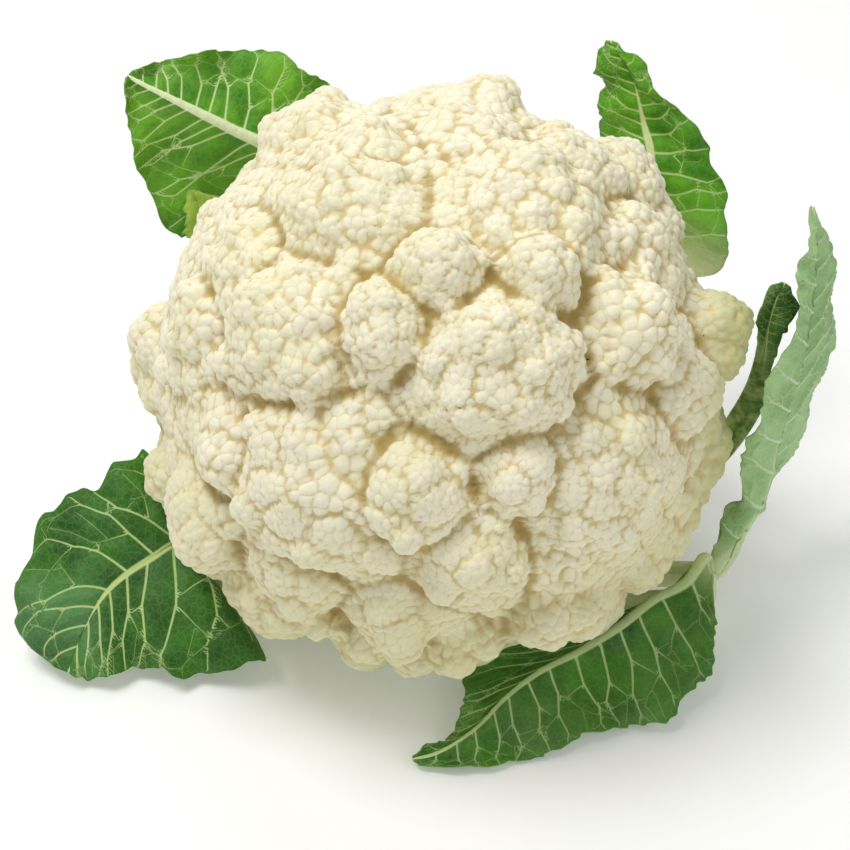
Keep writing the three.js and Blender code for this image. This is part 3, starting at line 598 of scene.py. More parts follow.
def add_piece(mesh, material, node):
    """Puts a mesh in the scene as a piece that stands for a node of the frame."""
    piece = bpy.data.objects.new(mesh.name, mesh)
    bpy.context.scene.collection.objects.link(piece)
    mesh.materials.append(material)
    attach(piece, ROOT)
    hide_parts(node)
    return piece


# The curd.


def underside_reach(directions):
    """Distance from the head's middle to its hollow underside, endless where it looks up."""
    down = np.maximum(-directions[:, 2], 1e-6)
    reach = (HEAD_HEIGHT - RIM_HEIGHT) / down
    level = np.hypot(directions[:, 0], directions[:, 1])
    for _ in range(4):
        rise = HOLLOW_RISE * (1 - smoothstep(HOLLOW_INNER, HOLLOW_OUTER, reach * level))
        reach = (HEAD_HEIGHT - RIM_HEIGHT - rise) / down
    return np.where(directions[:, 2] > UNDERSIDE_TURN, 1e6, reach)


def front_floret(right, up, radius, lift):
    """Centre and radius of a floret of the front, placed on the head where the eye sees it."""
    ray = unit(sight(right, up))
    from_centre = EYE - CENTRE
    along = -ray @ from_centre
    nearest = from_centre + ray * along
    inside = max(HEAD_RADIUS**2 - nearest @ nearest, 0.0)
    hit = nearest - ray * math.sqrt(inside)
    true_radius = radius * (along - math.sqrt(inside)) / EYE_DISTANCE
    return unit(hit) * (HEAD_RADIUS + lift - true_radius), true_radius


def seeded_numbers(seed):
    """Seeded numbers from 0 to 1, the same that the frame's fill florets use."""
    state = seed
    while True:
        state = (state * 1664525 + 1013904223) % 4294967296
        yield state / 4294967296


def on_spiral(index, count, drift):
    """One of a number of directions spread evenly in a spiral, turned a little by its drift."""
    height = 1 - 2 * (index + 0.5) / count
    across = math.sqrt(1 - height * height)
    angle = index * GOLDEN_TURN + drift
    return at(across * math.cos(angle), across * math.sin(angle), height)


def heads():
    """Centres from the head's middle, and radii, of the large flat heads under the florets."""
    made = []
    for right, up, radius, lift in FRONT_HEADS:
        made.append(front_floret(right, up, radius * HEAD_FLATNESS, lift - HEAD_SUNK))
    front = len(made)
    numbers = seeded_numbers(BACK_HEADS_SEED)
    for index in range(BACK_HEADS):
        direction = on_spiral(index, BACK_HEADS, BACK_HEADS_DRIFT * next(numbers))
        radius = BACK_HEAD_RADIUS * (0.8 + 0.4 * next(numbers))
        near = max(direction @ unit(centre) for centre, _ in made[:front])
        if near < CLEAR_OF_FRONT and direction[2] > LOWEST_HEAD:
            true_radius = radius * HEAD_FLATNESS
            reach = HEAD_RADIUS + BACK_HEAD_LIFT * next(numbers) - HEAD_SUNK - true_radius
            made.append((direction * reach, true_radius))
    return made


def on_heads(centre, radius, large):
    """A floret moved in or out so that it stands a little proud of the head under it."""
    direction = unit(centre)
    if direction[2] < UNDERSIDE_TURN:
        return centre, radius
    centres = np.array([head for head, _ in large])
    radii = np.array([head_radius for _, head_radius in large])
    along = centres @ direction
    inside = radii**2 - np.sum(centres**2, axis=1) + along**2
    reach = np.where((along > 0) & (inside > 0), along + np.sqrt(np.maximum(inside, 0)), 0)
    top = max(float(reach.max()), CORE_RADIUS) + FLORET_PROUD * radius
    return direction * (top - radius), radius


def florets(large):
    """Centres from the head's middle, and radii, of all florets and of the heads under them."""
    front = [front_floret(*values) for values in FRONT_FLORETS]
    sunk = [floret for floret, values in zip(front, FRONT_FLORETS) if values[3] < SUNK_FLORET]
    numbers = seeded_numbers(FILL_SEED)
    added = []

    def free(centre, radius, others, share):
        return all(
            np.linalg.norm(centre - other) >= share * (other_radius + radius)
            for other, other_radius in others
        )

    for index in range(FILL_FLORETS):
        radius = FILL_RADIUS + FILL_SPREAD * next(numbers)
        lift = FILL_LIFT * next(numbers) - FILL_SUNK
        direction = on_spiral(index, FILL_FLORETS, FILL_DRIFT * next(numbers))
        under = underside_reach(direction[None])[0]
        centre = direction * (min(HEAD_RADIUS + lift, under) - radius)
        stands = free(centre, radius, front, FRONT_ROOM) and free(centre, radius, added, FILL_ROOM)
        if direction[2] > LOWEST_FLORET and stands:
            added.append((centre, radius))
    raised = [floret for floret, values in zip(front, FRONT_FLORETS) if values[3] >= SUNK_FLORET]
    balls = large + sunk + [on_heads(*floret, large) for floret in raised + added]
    return [(pressed(centre), radius) for centre, radius in balls]


def pressed(centre):
    """A ball's centre, moved in where the head is a little flat."""
    along = unit(centre) @ unit(at(*PRESSED))
    return centre - unit(centre) * PRESSED_DEPTH * smoothstep(1 - PRESSED_WIDTH, 1, along)


def ball(subdivisions):
    """Places and faces of a ball of radius 1."""
    shape = bmesh.new()
    bmesh.ops.create_icosphere(shape, subdivisions=subdivisions, radius=1.0)
    places = np.array([vert.co[:] for vert in shape.verts])
    faces = np.array([[vert.index for vert in face.verts] for face in shape.faces])
    shape.free()
    return places, faces


def joined_balls(balls, voxel):
    """One skin over the core and all florets, as places from the head's middle and quads."""
    places, faces = ball(6)
    core = np.where(places[:, 2] < UNDERSIDE_TURN, CORE_RADIUS, CORE_BETWEEN_HEADS)
    reach = np.minimum(core, underside_reach(places))
    all_places = [places * reach[:, None]]
    all_faces = [faces]
    start = len(places)
    small, small_faces = ball(4)
    for centre, radius in balls:
        all_places.append(small * (radius - SKIN_ROOM) + centre)
        all_faces.append(small_faces + start)
        start += len(small)
    rough = new_mesh("rough", np.vstack(all_places), np.vstack(all_faces))
    holder = bpy.data.objects.new("rough", rough)
    bpy.context.scene.collection.objects.link(holder)
    remesh = holder.modifiers.new("skin", "REMESH")
    remesh.mode = "VOXEL"
    remesh.voxel_size = voxel * MM
    bpy.context.view_layer.update()
    skin = bpy.data.meshes.new_from_object(
        holder.evaluated_get(bpy.context.evaluated_depsgraph_get())
    )
    bpy.data.objects.remove(holder)
    bpy.data.meshes.remove(rough)
    places = np.empty(len(skin.vertices) * 3, np.float32)
    skin.vertices.foreach_get("co", places)
    quads = np.empty(len(skin.loops), np.int32)
    skin.loops.foreach_get("vertex_index", quads)
    sizes = {face.loop_total for face in skin.polygons}
    if sizes != {4}:
        raise RuntimeError(f"the skin has faces of {sizes} sides")
    bpy.data.meshes.remove(skin)
    return outer_shell(places.reshape(-1, 3).astype(float) / MM, quads.reshape(-1, 4))


def outer_shell(places, quads):
    """The largest joined part of a mesh of quads, without the gaps closed inside it."""
    skin = Skin(places, quads)
    label = np.arange(len(places))
    before = None
    while before is None or (label != before).any():
        before = label.copy()
        low = np.minimum(label[skin.one], label[skin.other])
        np.minimum.at(label, skin.one, low)
        np.minimum.at(label, skin.other, low)
        label = label[label]
    kept = label == np.bincount(label).argmax()
    number = np.cumsum(kept) - 1
    return places[kept], number[quads[kept[quads[:, 0]]]]


class Skin:
    """A mesh of quads as numpy arrays, with the sums that smoothing and normals need."""

    def __init__(self, places, quads):
        self.places = places
        self.quads = quads
        edges = np.vstack([quads[:, [k, (k + 1) % 4]] for k in range(4)])
        edges = np.unique(np.sort(edges, axis=1), axis=0)
        self.one = edges[:, 0]
        self.other = edges[:, 1]
        count = len(places)
        ends = np.concatenate([self.one, self.other])
        self.degree = np.bincount(ends, minlength=count).astype(float)

    def spread(self, values):
        """The mean of each vertex's neighbours."""
        count = len(self.places)
        total = np.bincount(self.one, values[self.other], count)
        total += np.bincount(self.other, values[self.one], count)
        return total / self.degree

    def smoothed(self, values, rounds):
        """Values evened out over the mesh."""
        values = values.copy()
        if values.ndim == 1:
            for _ in range(rounds):
                values += SMOOTHING * (self.spread(values) - values)
            return values
        return np.stack([self.smoothed(column, rounds) for column in values.T], 1)

    def normals(self):
        """Outward normals of the vertices."""
        corner = [self.places[self.quads[:, k]] for k in range(4)]
        face = np.cross(corner[2] - corner[0], corner[3] - corner[1])
        total = np.zeros_like(self.places)
        for axis in range(3):
            for k in range(4):
                total[:, axis] += np.bincount(
                    self.quads[:, k], face[:, axis], len(self.places)
                )
        return unit(total)


def scattered(places, spacing, tries, seed):
    """Indices of places picked at random, each at least its own spacing from the others."""
    order = np.random.default_rng(seed).permutation(len(places))[:tries]
    cell = float(spacing.max())
    keys = np.floor(places / cell).astype(int)
    taken = {}
    picked = []
    near = [(x, y, z) for x in (-1, 0, 1) for y in (-1, 0, 1) for z in (-1, 0, 1)]
    for index in order:
        key = tuple(keys[index])
        place = places[index]
        gap = spacing[index] ** 2
        free = True
        for step in near:
            spot = (key[0] + step[0], key[1] + step[1], key[2] + step[2])
            for other in taken.get(spot, ()):
                away = place - places[other]
                if away @ away < gap:
                    free = False
                    break
            if not free:
                break
        if free:
            taken.setdefault(key, []).append(index)
            picked.append(index)
    return np.array(picked)


def nearest_two(seeds, places):
    """Distances from each place to its nearest two seeds, and the nearest one's number."""
    tree = KDTree(len(seeds))
    for index, seed in enumerate(seeds):
        tree.insert(seed, index)
    tree.balance()
    result = np.empty((len(places), 3))
    for index, place in enumerate(places):
        (_, number, first), (_, _, second) = tree.find_n(place, 2)
        result[index] = (first, second, number)
    return result[:, 0], result[:, 1], result[:, 2].astype(int)


def add_domes(skin, spacing, tries, seed, rise, roundness):
    """Covers the skin with packed domes, and gives how deep in a crease each vertex is."""
    picked = scattered(skin.places, spacing, tries, seed)
    first, second, number = nearest_two(skin.places[picked], skin.places)
    size = spacing[picked][number] / 2
    edge = 2 * first / (first + second)
    dome = np.sqrt(1 - roundness * edge**2)
    skin.places = skin.places + skin.normals() * ((dome - 1) * size * rise)[:, None]
    return smoothstep(CREASE_START, 1, edge)


def part_heads(skin, large, depth):
    """Rounds the skin over each large head, and gives how deep between heads each vertex is."""
    first = np.full(len(skin.places), FAR_AWAY)
    second = first.copy()
    for centre, radius in large:
        top = centre + unit(centre) * radius
        away = np.linalg.norm(skin.places - top, axis=1) / radius
        second = np.minimum(second, np.maximum(away, first))
        first = np.minimum(away, first)
    edge = 2 * first / (first + second)
    dome = np.sqrt(1 - HEAD_ROUNDNESS * edge**HEAD_EDGE)
    skin.places = skin.places + unit(skin.places) * ((dome - 1) * depth)[:, None]
    return smoothstep(PARTING_START, 1, edge)


def build_curd(sizes, tones):
    """The head: joined florets, covered in lobes that are covered in grains."""
    large = heads()
    places, quads = joined_balls(florets(large), VOXEL)
    reach = np.linalg.norm(places, axis=1)
    directions = places / reach[:, None]
    under = underside_reach(directions)
    places = directions * np.minimum(reach, under + FLORET_DROOP - SKIN_ROOM)[:, None]
    skin = Skin(places, quads)
    if np.sum(skin.normals() * places) < 0:
        skin.quads = quads[:, ::-1]
    skin.places = skin.smoothed(skin.places, JOINED_ROUNDS)
    below = smoothstep(-12, 1, reach - under)
    turned = smoothstep(UNDERSIDE_TURN, UNDERSIDE_TURN - UNDERSIDE_BLEND, directions[:, 2])
    calm = 1 - UNDERSIDE_CALM * below * turned

    parting = part_heads(skin, large, HEAD_CREASE * calm)
    skin.places = skin.smoothed(skin.places, PARTED_ROUNDS)
    coarse = sizes.lobe / MM * lump(directions, *LOBE_SIZES)
    lobes = add_domes(skin, coarse, LOBE_TRIES, LOBE_SEED, LOBE_RISE * calm, LOBE_ROUNDNESS)
    skin.places = skin.smoothed(skin.places, LOBED_ROUNDS)
    fine = sizes.grain / MM * lump(directions, *GRAIN_SIZES)
    grains = add_domes(skin, fine, len(places), GRAIN_SEED, GRAIN_RISE * calm, GRAIN_ROUNDNESS)

    # How far each vertex is sunk below its smoothed surroundings, near and wide; the finish paints
    # tint and shade into these hollows.
    radius = np.linalg.norm(skin.places, axis=1)
    near = skin.smoothed(radius, NEAR_ROUNDS) - radius
    wide = skin.smoothed(radius, WIDE_ROUNDS) - radius
    numbers = {
        "lobes": lobes,
        "grains": grains,
        "parting": parting * calm,
        "near": np.clip(near / NEAR_DEPTH, 0, 1),
        "wide": np.clip(wide / WIDE_DEPTH, 0, 1),
        "under": 1 - calm,
    }
    normals = skin.normals()
    skin.places = skin.places + CENTRE
    material = curd_finish(tones)
    for name, part in curd_parts(skin).items():
        used = np.unique(skin.quads[part])
        renumber = np.zeros(len(skin.places), int)
        renumber[used] = np.arange(len(used))
        mesh = new_mesh(
            name,
            skin.places[used],
            renumber[skin.quads[part]],
            {key: values[used] for key, values in numbers.items()},
            normals=normals[used],
        )
        add_piece(mesh, material, "curd")


def curd_parts(skin):
    """The skin's quads in quarters round the head, each small enough for one piece."""
    middles = skin.places[skin.quads].mean(axis=1)
    right = middles[:, 0] > 0
    front = middles @ TO_EYE > CENTRE @ TO_EYE + FRONT_SHARE
    return {
        "curd_front_left": front & ~right,
        "curd_front_right": front & right,
        "curd_back_left": ~front & ~right,
        "curd_back_right": ~front & right,
    }


def lump(directions, scale, seed, low, high):
    """Smooth random factors between low and high over the head."""
    random.seed(seed)
    total = np.zeros(len(directions))
    for _ in range(LUMP_WAVES):
        axis = np.array([random.gauss(0, 1) for _ in range(3)])
        total += np.sin(directions @ (axis * scale) + random.uniform(0, 2 * math.pi))
    share = 0.5 + 0.5 * np.clip(total / math.sqrt(LUMP_WAVES), -1, 1)
    return low + (high - low) * share


def curd_finish(tones):
    """Matt ivory grains with a few dark specks. Creases and gaps are partly their own warmer tint,
    partly painted shade; low down the florets are greener, partly their own tint, partly painted
    shade, and on the right they carry the leaves' painted shade.
    """
    finish = Finish("curd_finish")
    lobes = finish.attribute("lobes")
    grains = finish.attribute("grains")
    near = finish.attribute("near")
    wide = finish.attribute("wide")
    under = finish.attribute("under")
    parting = finish.attribute("parting")
    drift = finish.noise(24, 2)
    blotch = finish.noise(9, 3, 0.6)
    height = finish.separate(finish.place(), "Z")
    side = finish.separate(finish.place(), "X")

    top = finish.mix(drift.above(0.35, 0.7), tones.curd, tones.curd_cool)
    # Painted shade: darker and greener low down and on the right; low down it is partly the curd's
    # own greener tint.
    low = (1 - height.above(0.03, 0.1)) * 0.7 + side.above(0.05, 0.085) * 0.3
    top = finish.mix(low * (0.55 + 0.45 * blotch), top, tones.curd_low_tint_and_shade)
    # Painted shade of the leaves, tinted green, on the florets at the right.
    top = finish.mix(side.above(0.066, 0.084) * 0.85, top, tones.curd_painted_leaf_shade)
    # Creases: partly the curd's own warmer tint, partly painted shade where the skin is sunk.
    crease = near * (0.45 + 0.6 * blotch) + grains ** 3.0 * 0.36 + lobes ** 3.0 * 0.3
    crease_tint_and_shade = finish.mix(crease.above(0.05, 0.75), top, tones.crease)
    # Deep gaps between florets and heads: partly their own browner tint, partly painted shade.
    gap = wide * (0.7 + 0.6 * drift) + parting ** 2.0 * (0.1 + 0.4 * drift)
    deep = finish.mix(gap.above(0.15, 0.85), crease_tint_and_shade, tones.deep)
    fleck = finish.cells(1.5, place=finish.warped(3, 1.5))
    patch = finish.noise(14, 3, 0.7).above(0.5, 0.66)
    specks = (1 - fleck.above(0.05, 0.22)) * patch * crease.above(0.12, 0.5)
    speckled = finish.mix(specks * 0.8, deep, tones.speck)
    base = finish.mix(under, speckled, tones.branch)

    grit = finish.cells(1.15)
    pores = finish.noise(0.5, 2)
    relief = grit * -0.75 + pores * 0.25
    roughness = 0.62 + 0.2 * blotch + 0.1 * crease
    return finish.surface({
        "Base Color": base,
        "Roughness": roughness,
        "Normal": finish.bump(relief, 0.32, 0.55),
        "Specular IOR Level": 0.32,
        "Sheen Weight": 0.06,
        "Sheen Roughness": 0.5,
    })


# The stem.


def build_stem(sizes, tones):
    """The short stalk under the head: cut flat, scarred where leaves came off, flared on top."""
    profile = curve_through([at(reach, 0, height) for height, reach in STEM_PROFILE])
    line = profile(np.linspace(0, 1, STEM_RINGS))
    angles = np.linspace(0, 2 * math.pi, STEM_SIDES, endpoint=False)
    height, angle = np.meshgrid(line[:, 2], angles, indexing="ij")
    reach = np.repeat(line[:, :1], STEM_SIDES, axis=1)
    flare = BRANCH_DEPTH * smoothstep(8, 20, height) * np.cos(BRANCHES * angle)
    scars, ring = stem_scars(angle, height)
    grain = 0.18 * np.sin(31 * angle + 0.6 * np.sin(0.7 * height)) * smoothstep(0.5, 3, height)
    radius = reach * (1 + flare) - CUT_ROUND * (1 - smoothstep(0, 1.2, height)) + scars + grain
    rounds = [radius[0] * share for share in CUT_RINGS]
    radius = np.vstack([*rounds, radius])
    height = np.vstack([np.zeros((len(rounds), STEM_SIDES)), height])
    height[:len(rounds)] += cut_relief(radius[:len(rounds)], angles)
    angle = np.broadcast_to(angles, radius.shape)
    places = np.stack([radius * np.cos(angle), radius * np.sin(angle), height], -1)
    count = len(radius)
    start = places.reshape(-1, 3)
    middle = at(0, 0, CUT_HOLLOW)
    top = at(0, 0, float(height[-1, 0]))
    points = np.vstack([start, middle, top])
    side = np.arange(STEM_SIDES)
    after = (side + 1) % STEM_SIDES
    faces = []
    for row in range(count - 1):
        a = row * STEM_SIDES
        b = a + STEM_SIDES
        faces.append(np.stack([a + side, a + after, b + after], 1))
        faces.append(np.stack([a + side, b + after, b + side], 1))
    last = (count - 1) * STEM_SIDES
    faces.append(np.stack([np.full(STEM_SIDES, len(start)), after, side], 1))
    faces.append(np.stack([np.full(STEM_SIDES, len(start) + 1), last + side, last + after], 1))
    cut = np.zeros(len(points))
    cut[: len(rounds) * STEM_SIDES] = 1
    cut[len(start)] = 1
    scarred = np.zeros(len(points))
    scarred[len(rounds) * STEM_SIDES : len(start)] = ring.ravel()
    numbers = {"cut": cut, "scar": scarred}
    mesh = new_mesh("stem_body", points, np.vstack(faces), numbers)
    add_piece(mesh, stem_finish(tones), "stem")


def stem_scars(angle, height):
    """Rise of the old leaf scars on the stem, and how far each place is in a scar's dry rim."""
    rise = np.zeros_like(height)
    rim = np.zeros_like(height)
    for index in range(SCARS):
        middle = (index * 2.4) % (2 * math.pi)
        level = 3.5 + (index * 1.3) % 6
        turn = np.arctan2(np.sin(angle - middle), np.cos(angle - middle))
        across = turn * STEM_RADIUS / 7
        above = (height - level - 0.8 * across**2) / 2
        away = across**2 + above**2
        rise += SCAR_RISE * np.exp(-away) - 0.35 * np.exp(-((away - 0.25) ** 2) / 0.02)
        rim = np.maximum(rim, np.exp(-((away - 0.6) ** 2) / 0.05))
    return rise * smoothstep(0, 3, height), rim * smoothstep(0, 3, height)


def cut_relief(radius, angles):
    """The cut face: a hair above the floor inside its edge, with knife lines across it."""
    across = radius * np.cos(angles[None, :] + 0.4)
    inside = 1 - smoothstep(STEM_RADIUS - 3, STEM_RADIUS - 1, radius)
    return inside * (CUT_HOLLOW + 0.06 * np.sin(across * 2.1))


def stem_finish(tones):
    """Pale green-white skin with fine ribs and brown scars; the cut face is drier, with a ring."""
    finish = Finish("stem_finish")
    cut = finish.attribute("cut")
    scar = finish.attribute("scar")
    place = finish.place()
    stretched = finish.scaled(place, (1.0, 1.0, 0.15))
    streak = finish.noise(1.2, 3, 0.6, stretched)
    patch = finish.noise(9, 3, 0.6)
    skin = finish.mix(streak.above(0.3, 0.75), tones.stem, tones.stem_pale)
    skin = finish.mix(patch.above(0.5, 0.75) * 0.5, skin, tones.young)
    skin = finish.mix(scar * (0.4 + 0.6 * patch), skin, tones.dry)
    level = finish.length(finish.scaled(place, (1.0, 1.0, 0.0)))
    ring = level.above(0.0125, 0.0138) * (1 - level.above(0.0148, 0.0165))
    dots = 1 - finish.cells(1.6).above(0.12, 0.3)
    pith = finish.noise(0.9, 3)
    face = finish.mix(pith.above(0.3, 0.7), tones.stem_pale, tones.pith)
    face = finish.mix(ring * (0.35 + 0.65 * dots), face, tones.dry)
    face = finish.mix(level.above(0.0175, 0.0195) * 0.7, face, tones.dry)
    base = finish.mix(cut, skin, face)
    relief = streak * 0.6 + patch * 0.2 - ring * dots * 0.4
    return finish.surface({
        "Base Color": base,
        "Roughness": 0.5 + 0.25 * cut + 0.12 * streak,
        "Normal": finish.bump(relief, 0.3, 0.5),
        "Specular IOR Level": 0.4,
    })


# The leaves.


def curve_through(points):
    """A smooth curve through points, as a function from shares 0 to 1 to places."""
    points = np.array(points)
    padded = np.vstack([2 * points[0] - points[1], points, 2 * points[-1] - points[-2]])

    def places(shares):
        along = np.clip(shares, 0, 1) * (len(points) - 1)
        first = np.minimum(along.astype(int), len(points) - 2)
        x = (along - first)[:, None]
        a, b, c, d = (padded[first + k] for k in range(4))
        pairs = ((a, b), (b, c), (c, d))
        gaps = [np.sqrt(np.linalg.norm(end - start, axis=1))[:, None] for start, end in pairs]
        out = ((b - a) / gaps[0] - (c - a) / (gaps[0] + gaps[1]) + (c - b) / gaps[1]) * gaps[1]
        into = ((c - b) / gaps[1] - (d - b) / (gaps[1] + gaps[2]) + (d - c) / gaps[2]) * gaps[1]
        bend = -3 * b + 3 * c - 2 * out - into
        return b + out * x + bend * x**2 + (2 * b - 2 * c + out + into) * x**3

    return places


def leaf_rails(leaf):
    """Points of one edge, the rib and the other edge, with the stalk's edges beside its rib."""
    first_rib, first_one, first_other = leaf["stations"][0]
    across = unit(first_other - first_one)
    path = [*leaf["stalk"], first_rib]
    one, rib, other = [], [], []
    for index, point in enumerate(leaf["stalk"]):
        along = unit(path[index + 1] - path[max(index - 1, 0)])
        level = unit(np.cross(along, at(0, 0, 1)))
        if level @ across < 0:
            level = -level
        side = level + (across - level) * (index / len(leaf["stalk"]))
        side = unit(side - along * (side @ along))
        rib.append(point)
        one.append(point - side * leaf["wide"])
        other.append(point + side * leaf["wide"])
    for rib_point, one_point, other_point in leaf["stations"]:
        rib.append(rib_point)
        one.append(one_point)
        other.append(other_point)
    return one, rib, other


class Blade:
    """A leaf's middle surface, from its stalk's foot to its tip and from edge to edge."""

    def __init__(self, leaf, seed):
        self.leaf = leaf
        self.one, self.rib, self.other = (curve_through(points) for points in leaf_rails(leaf))
        stalk = len(leaf["stalk"])
        self.stalk_share = stalk / (stalk + len(leaf["stations"]) - 1)
        self.shares = np.linspace(0, 1, 600)
        steps = sum(
            np.linalg.norm(np.diff(rail(self.shares), axis=0), axis=1)
            for rail in (self.one, self.rib, self.rib, self.other)
        )
        self.lengths = np.concatenate([[0], np.cumsum(steps / 4)])
        self.random = np.random.default_rng(seed)
        self.bends = self.random.uniform(-1, 1, (6, 128))

    def length(self, shares):
        return np.interp(shares, self.shares, self.lengths)

    def share(self, lengths):
        return np.interp(lengths, self.lengths, self.shares)

    def bend(self, row, x):
        """Smooth seeded wobble between -1 and 1 along a line."""
        x = np.mod(x, 126)
        low = x.astype(int)
        part = x - low
        part = part * part * (3 - 2 * part)
        return self.bends[row][low] * (1 - part) + self.bends[row][low + 1] * part

    def in_blade(self, shares):
        start = self.stalk_share
        return smoothstep(start - 0.05, start + 0.15, shares) * (1 - smoothstep(0.93, 1, shares))

    def places(self, shares, across):
        """Places on the middle surface for shares along and across, -1 and 1 being the edges."""
        leaf = self.leaf
        rib = self.rib(shares)
        one = self.one(shares)
        other = self.other(shares)
        along = self.rib(shares + 0.002) - self.rib(shares - 0.002)
        up = unit(np.cross(other - one, along)) * leaf["face"]
        edge = np.where((across < 0)[:, None], one, other)
        reach = np.abs(across)
        side = (across >= 0).astype(int)
        phase = 1.3 * side
        blade = self.in_blade(shares)
        length = self.length(shares)
        turn = 2 * math.pi * shares
        tooth = leaf["tooth"] * reach**4 * np.sin(leaf["teeth"] * turn + phase)
        nick = leaf["nick"] * reach**8 * self.edge_wobble(0, side, length / leaf["nick_length"])
        wave = leaf["wave"] * reach**2 * np.sin(leaf["waves"] * turn + phase)
        ruffle = leaf["ruffle"] * reach**3 * self.edge_wobble(2, side, length / 6)
        ruffle += 0.4 * leaf["ruffle"] * reach**5 * self.edge_wobble(4, side, length / 2.6)
        bow = leaf["bow"] * 4 * reach * (1 - reach)
        points = rib + (edge - rib) * (reach * (1 + blade * tooth))[:, None]
        outward = unit(edge - rib)
        points += outward * (blade * nick)[:, None]
        return points + up * (blade * (wave + ruffle + bow))[:, None]

    def edge_wobble(self, row, side, x):
        return np.where(side == 0, self.bend(row, x), self.bend(row + 1, x + 40))

    def half_width(self, share, sign):
        edge = self.other if sign > 0 else self.one
        shares = np.array([share])
        return float(np.linalg.norm(edge(shares) - self.rib(shares)))

    def veins(self, spacing):
        """Points of the side veins as share along, share across, half width and vein number."""
        tips = []
        start = self.length(self.stalk_share) - 6
        end = self.lengths[-1]
        for sign in (-1, 1):
            length = start + spacing * (0.3 if sign < 0 else 0.8)
            while length < end - 0.35 * spacing:
                share = (length - start) / (end - start)
                width = self.leaf["vein"] * (1 - 0.4 * share)
                angle = math.radians(64 - 14 * share + self.random.uniform(-5, 5))
                tips.append((sign, length, 0.0, angle, width, 1.4, 0))
                length += spacing * self.random.uniform(0.85, 1.2) * (1 - 0.25 * share)
        points = []
        taken = {}
        number = 0
        while tips:
            number += 1
            self.grow_vein(points, tips, tips.pop(0), number, taken)
        return np.array(points)

    def grow_vein(self, points, tips, tip, number, taken):
        """Follows one vein to its end, forks keeping clear of others, and adds its forks' tips."""
        sign, length, reach, angle, width, life, order = tip
        life *= self.half_width(float(self.share(length)), sign)
        side = self.random.choice([-1, 1])
        fork = life * self.random.uniform(0.22, 0.34) * (1 + order)
        bend = self.random.uniform(-0.1, 0.1)
        walked = 0.0
        while walked < life and reach < VEIN_END and length < self.lengths[-1] - 1:
            share = float(self.share(length))
            room = max(self.half_width(share, sign), 0.5)
            spot = (sign, int(length / VEIN_ROOM), int(reach * room / VEIN_ROOM))
            if order and taken.get(spot, number) != number and walked > 2 * VEIN_ROOM:
                return
            taken.setdefault(spot, number)
            now = width * (1 - VEIN_TAPER * walked / life)
            if order == 0 or walked > VEIN_START:
                points.append((share, sign * reach, max(now, THINNEST_VEIN), number))
            if walked >= fork and order < MOST_FORKS:
                side = -side
                turn = side * self.random.uniform(0.55, 0.8)
                thin = now * FORK_WIDTH
                tips.append((sign, length, reach, angle + turn, thin, FORK_LIFE, order + 1))
                bend = -side * FORK_BEND
                fork += life * self.random.uniform(0.2, 0.3)
            heading = angle + bend
            length += VEIN_STEP * math.cos(heading)
            reach += VEIN_STEP * math.sin(heading) / room
            angle += (VEIN_HEADING - angle) * VEIN_TURN
            walked += VEIN_STEP


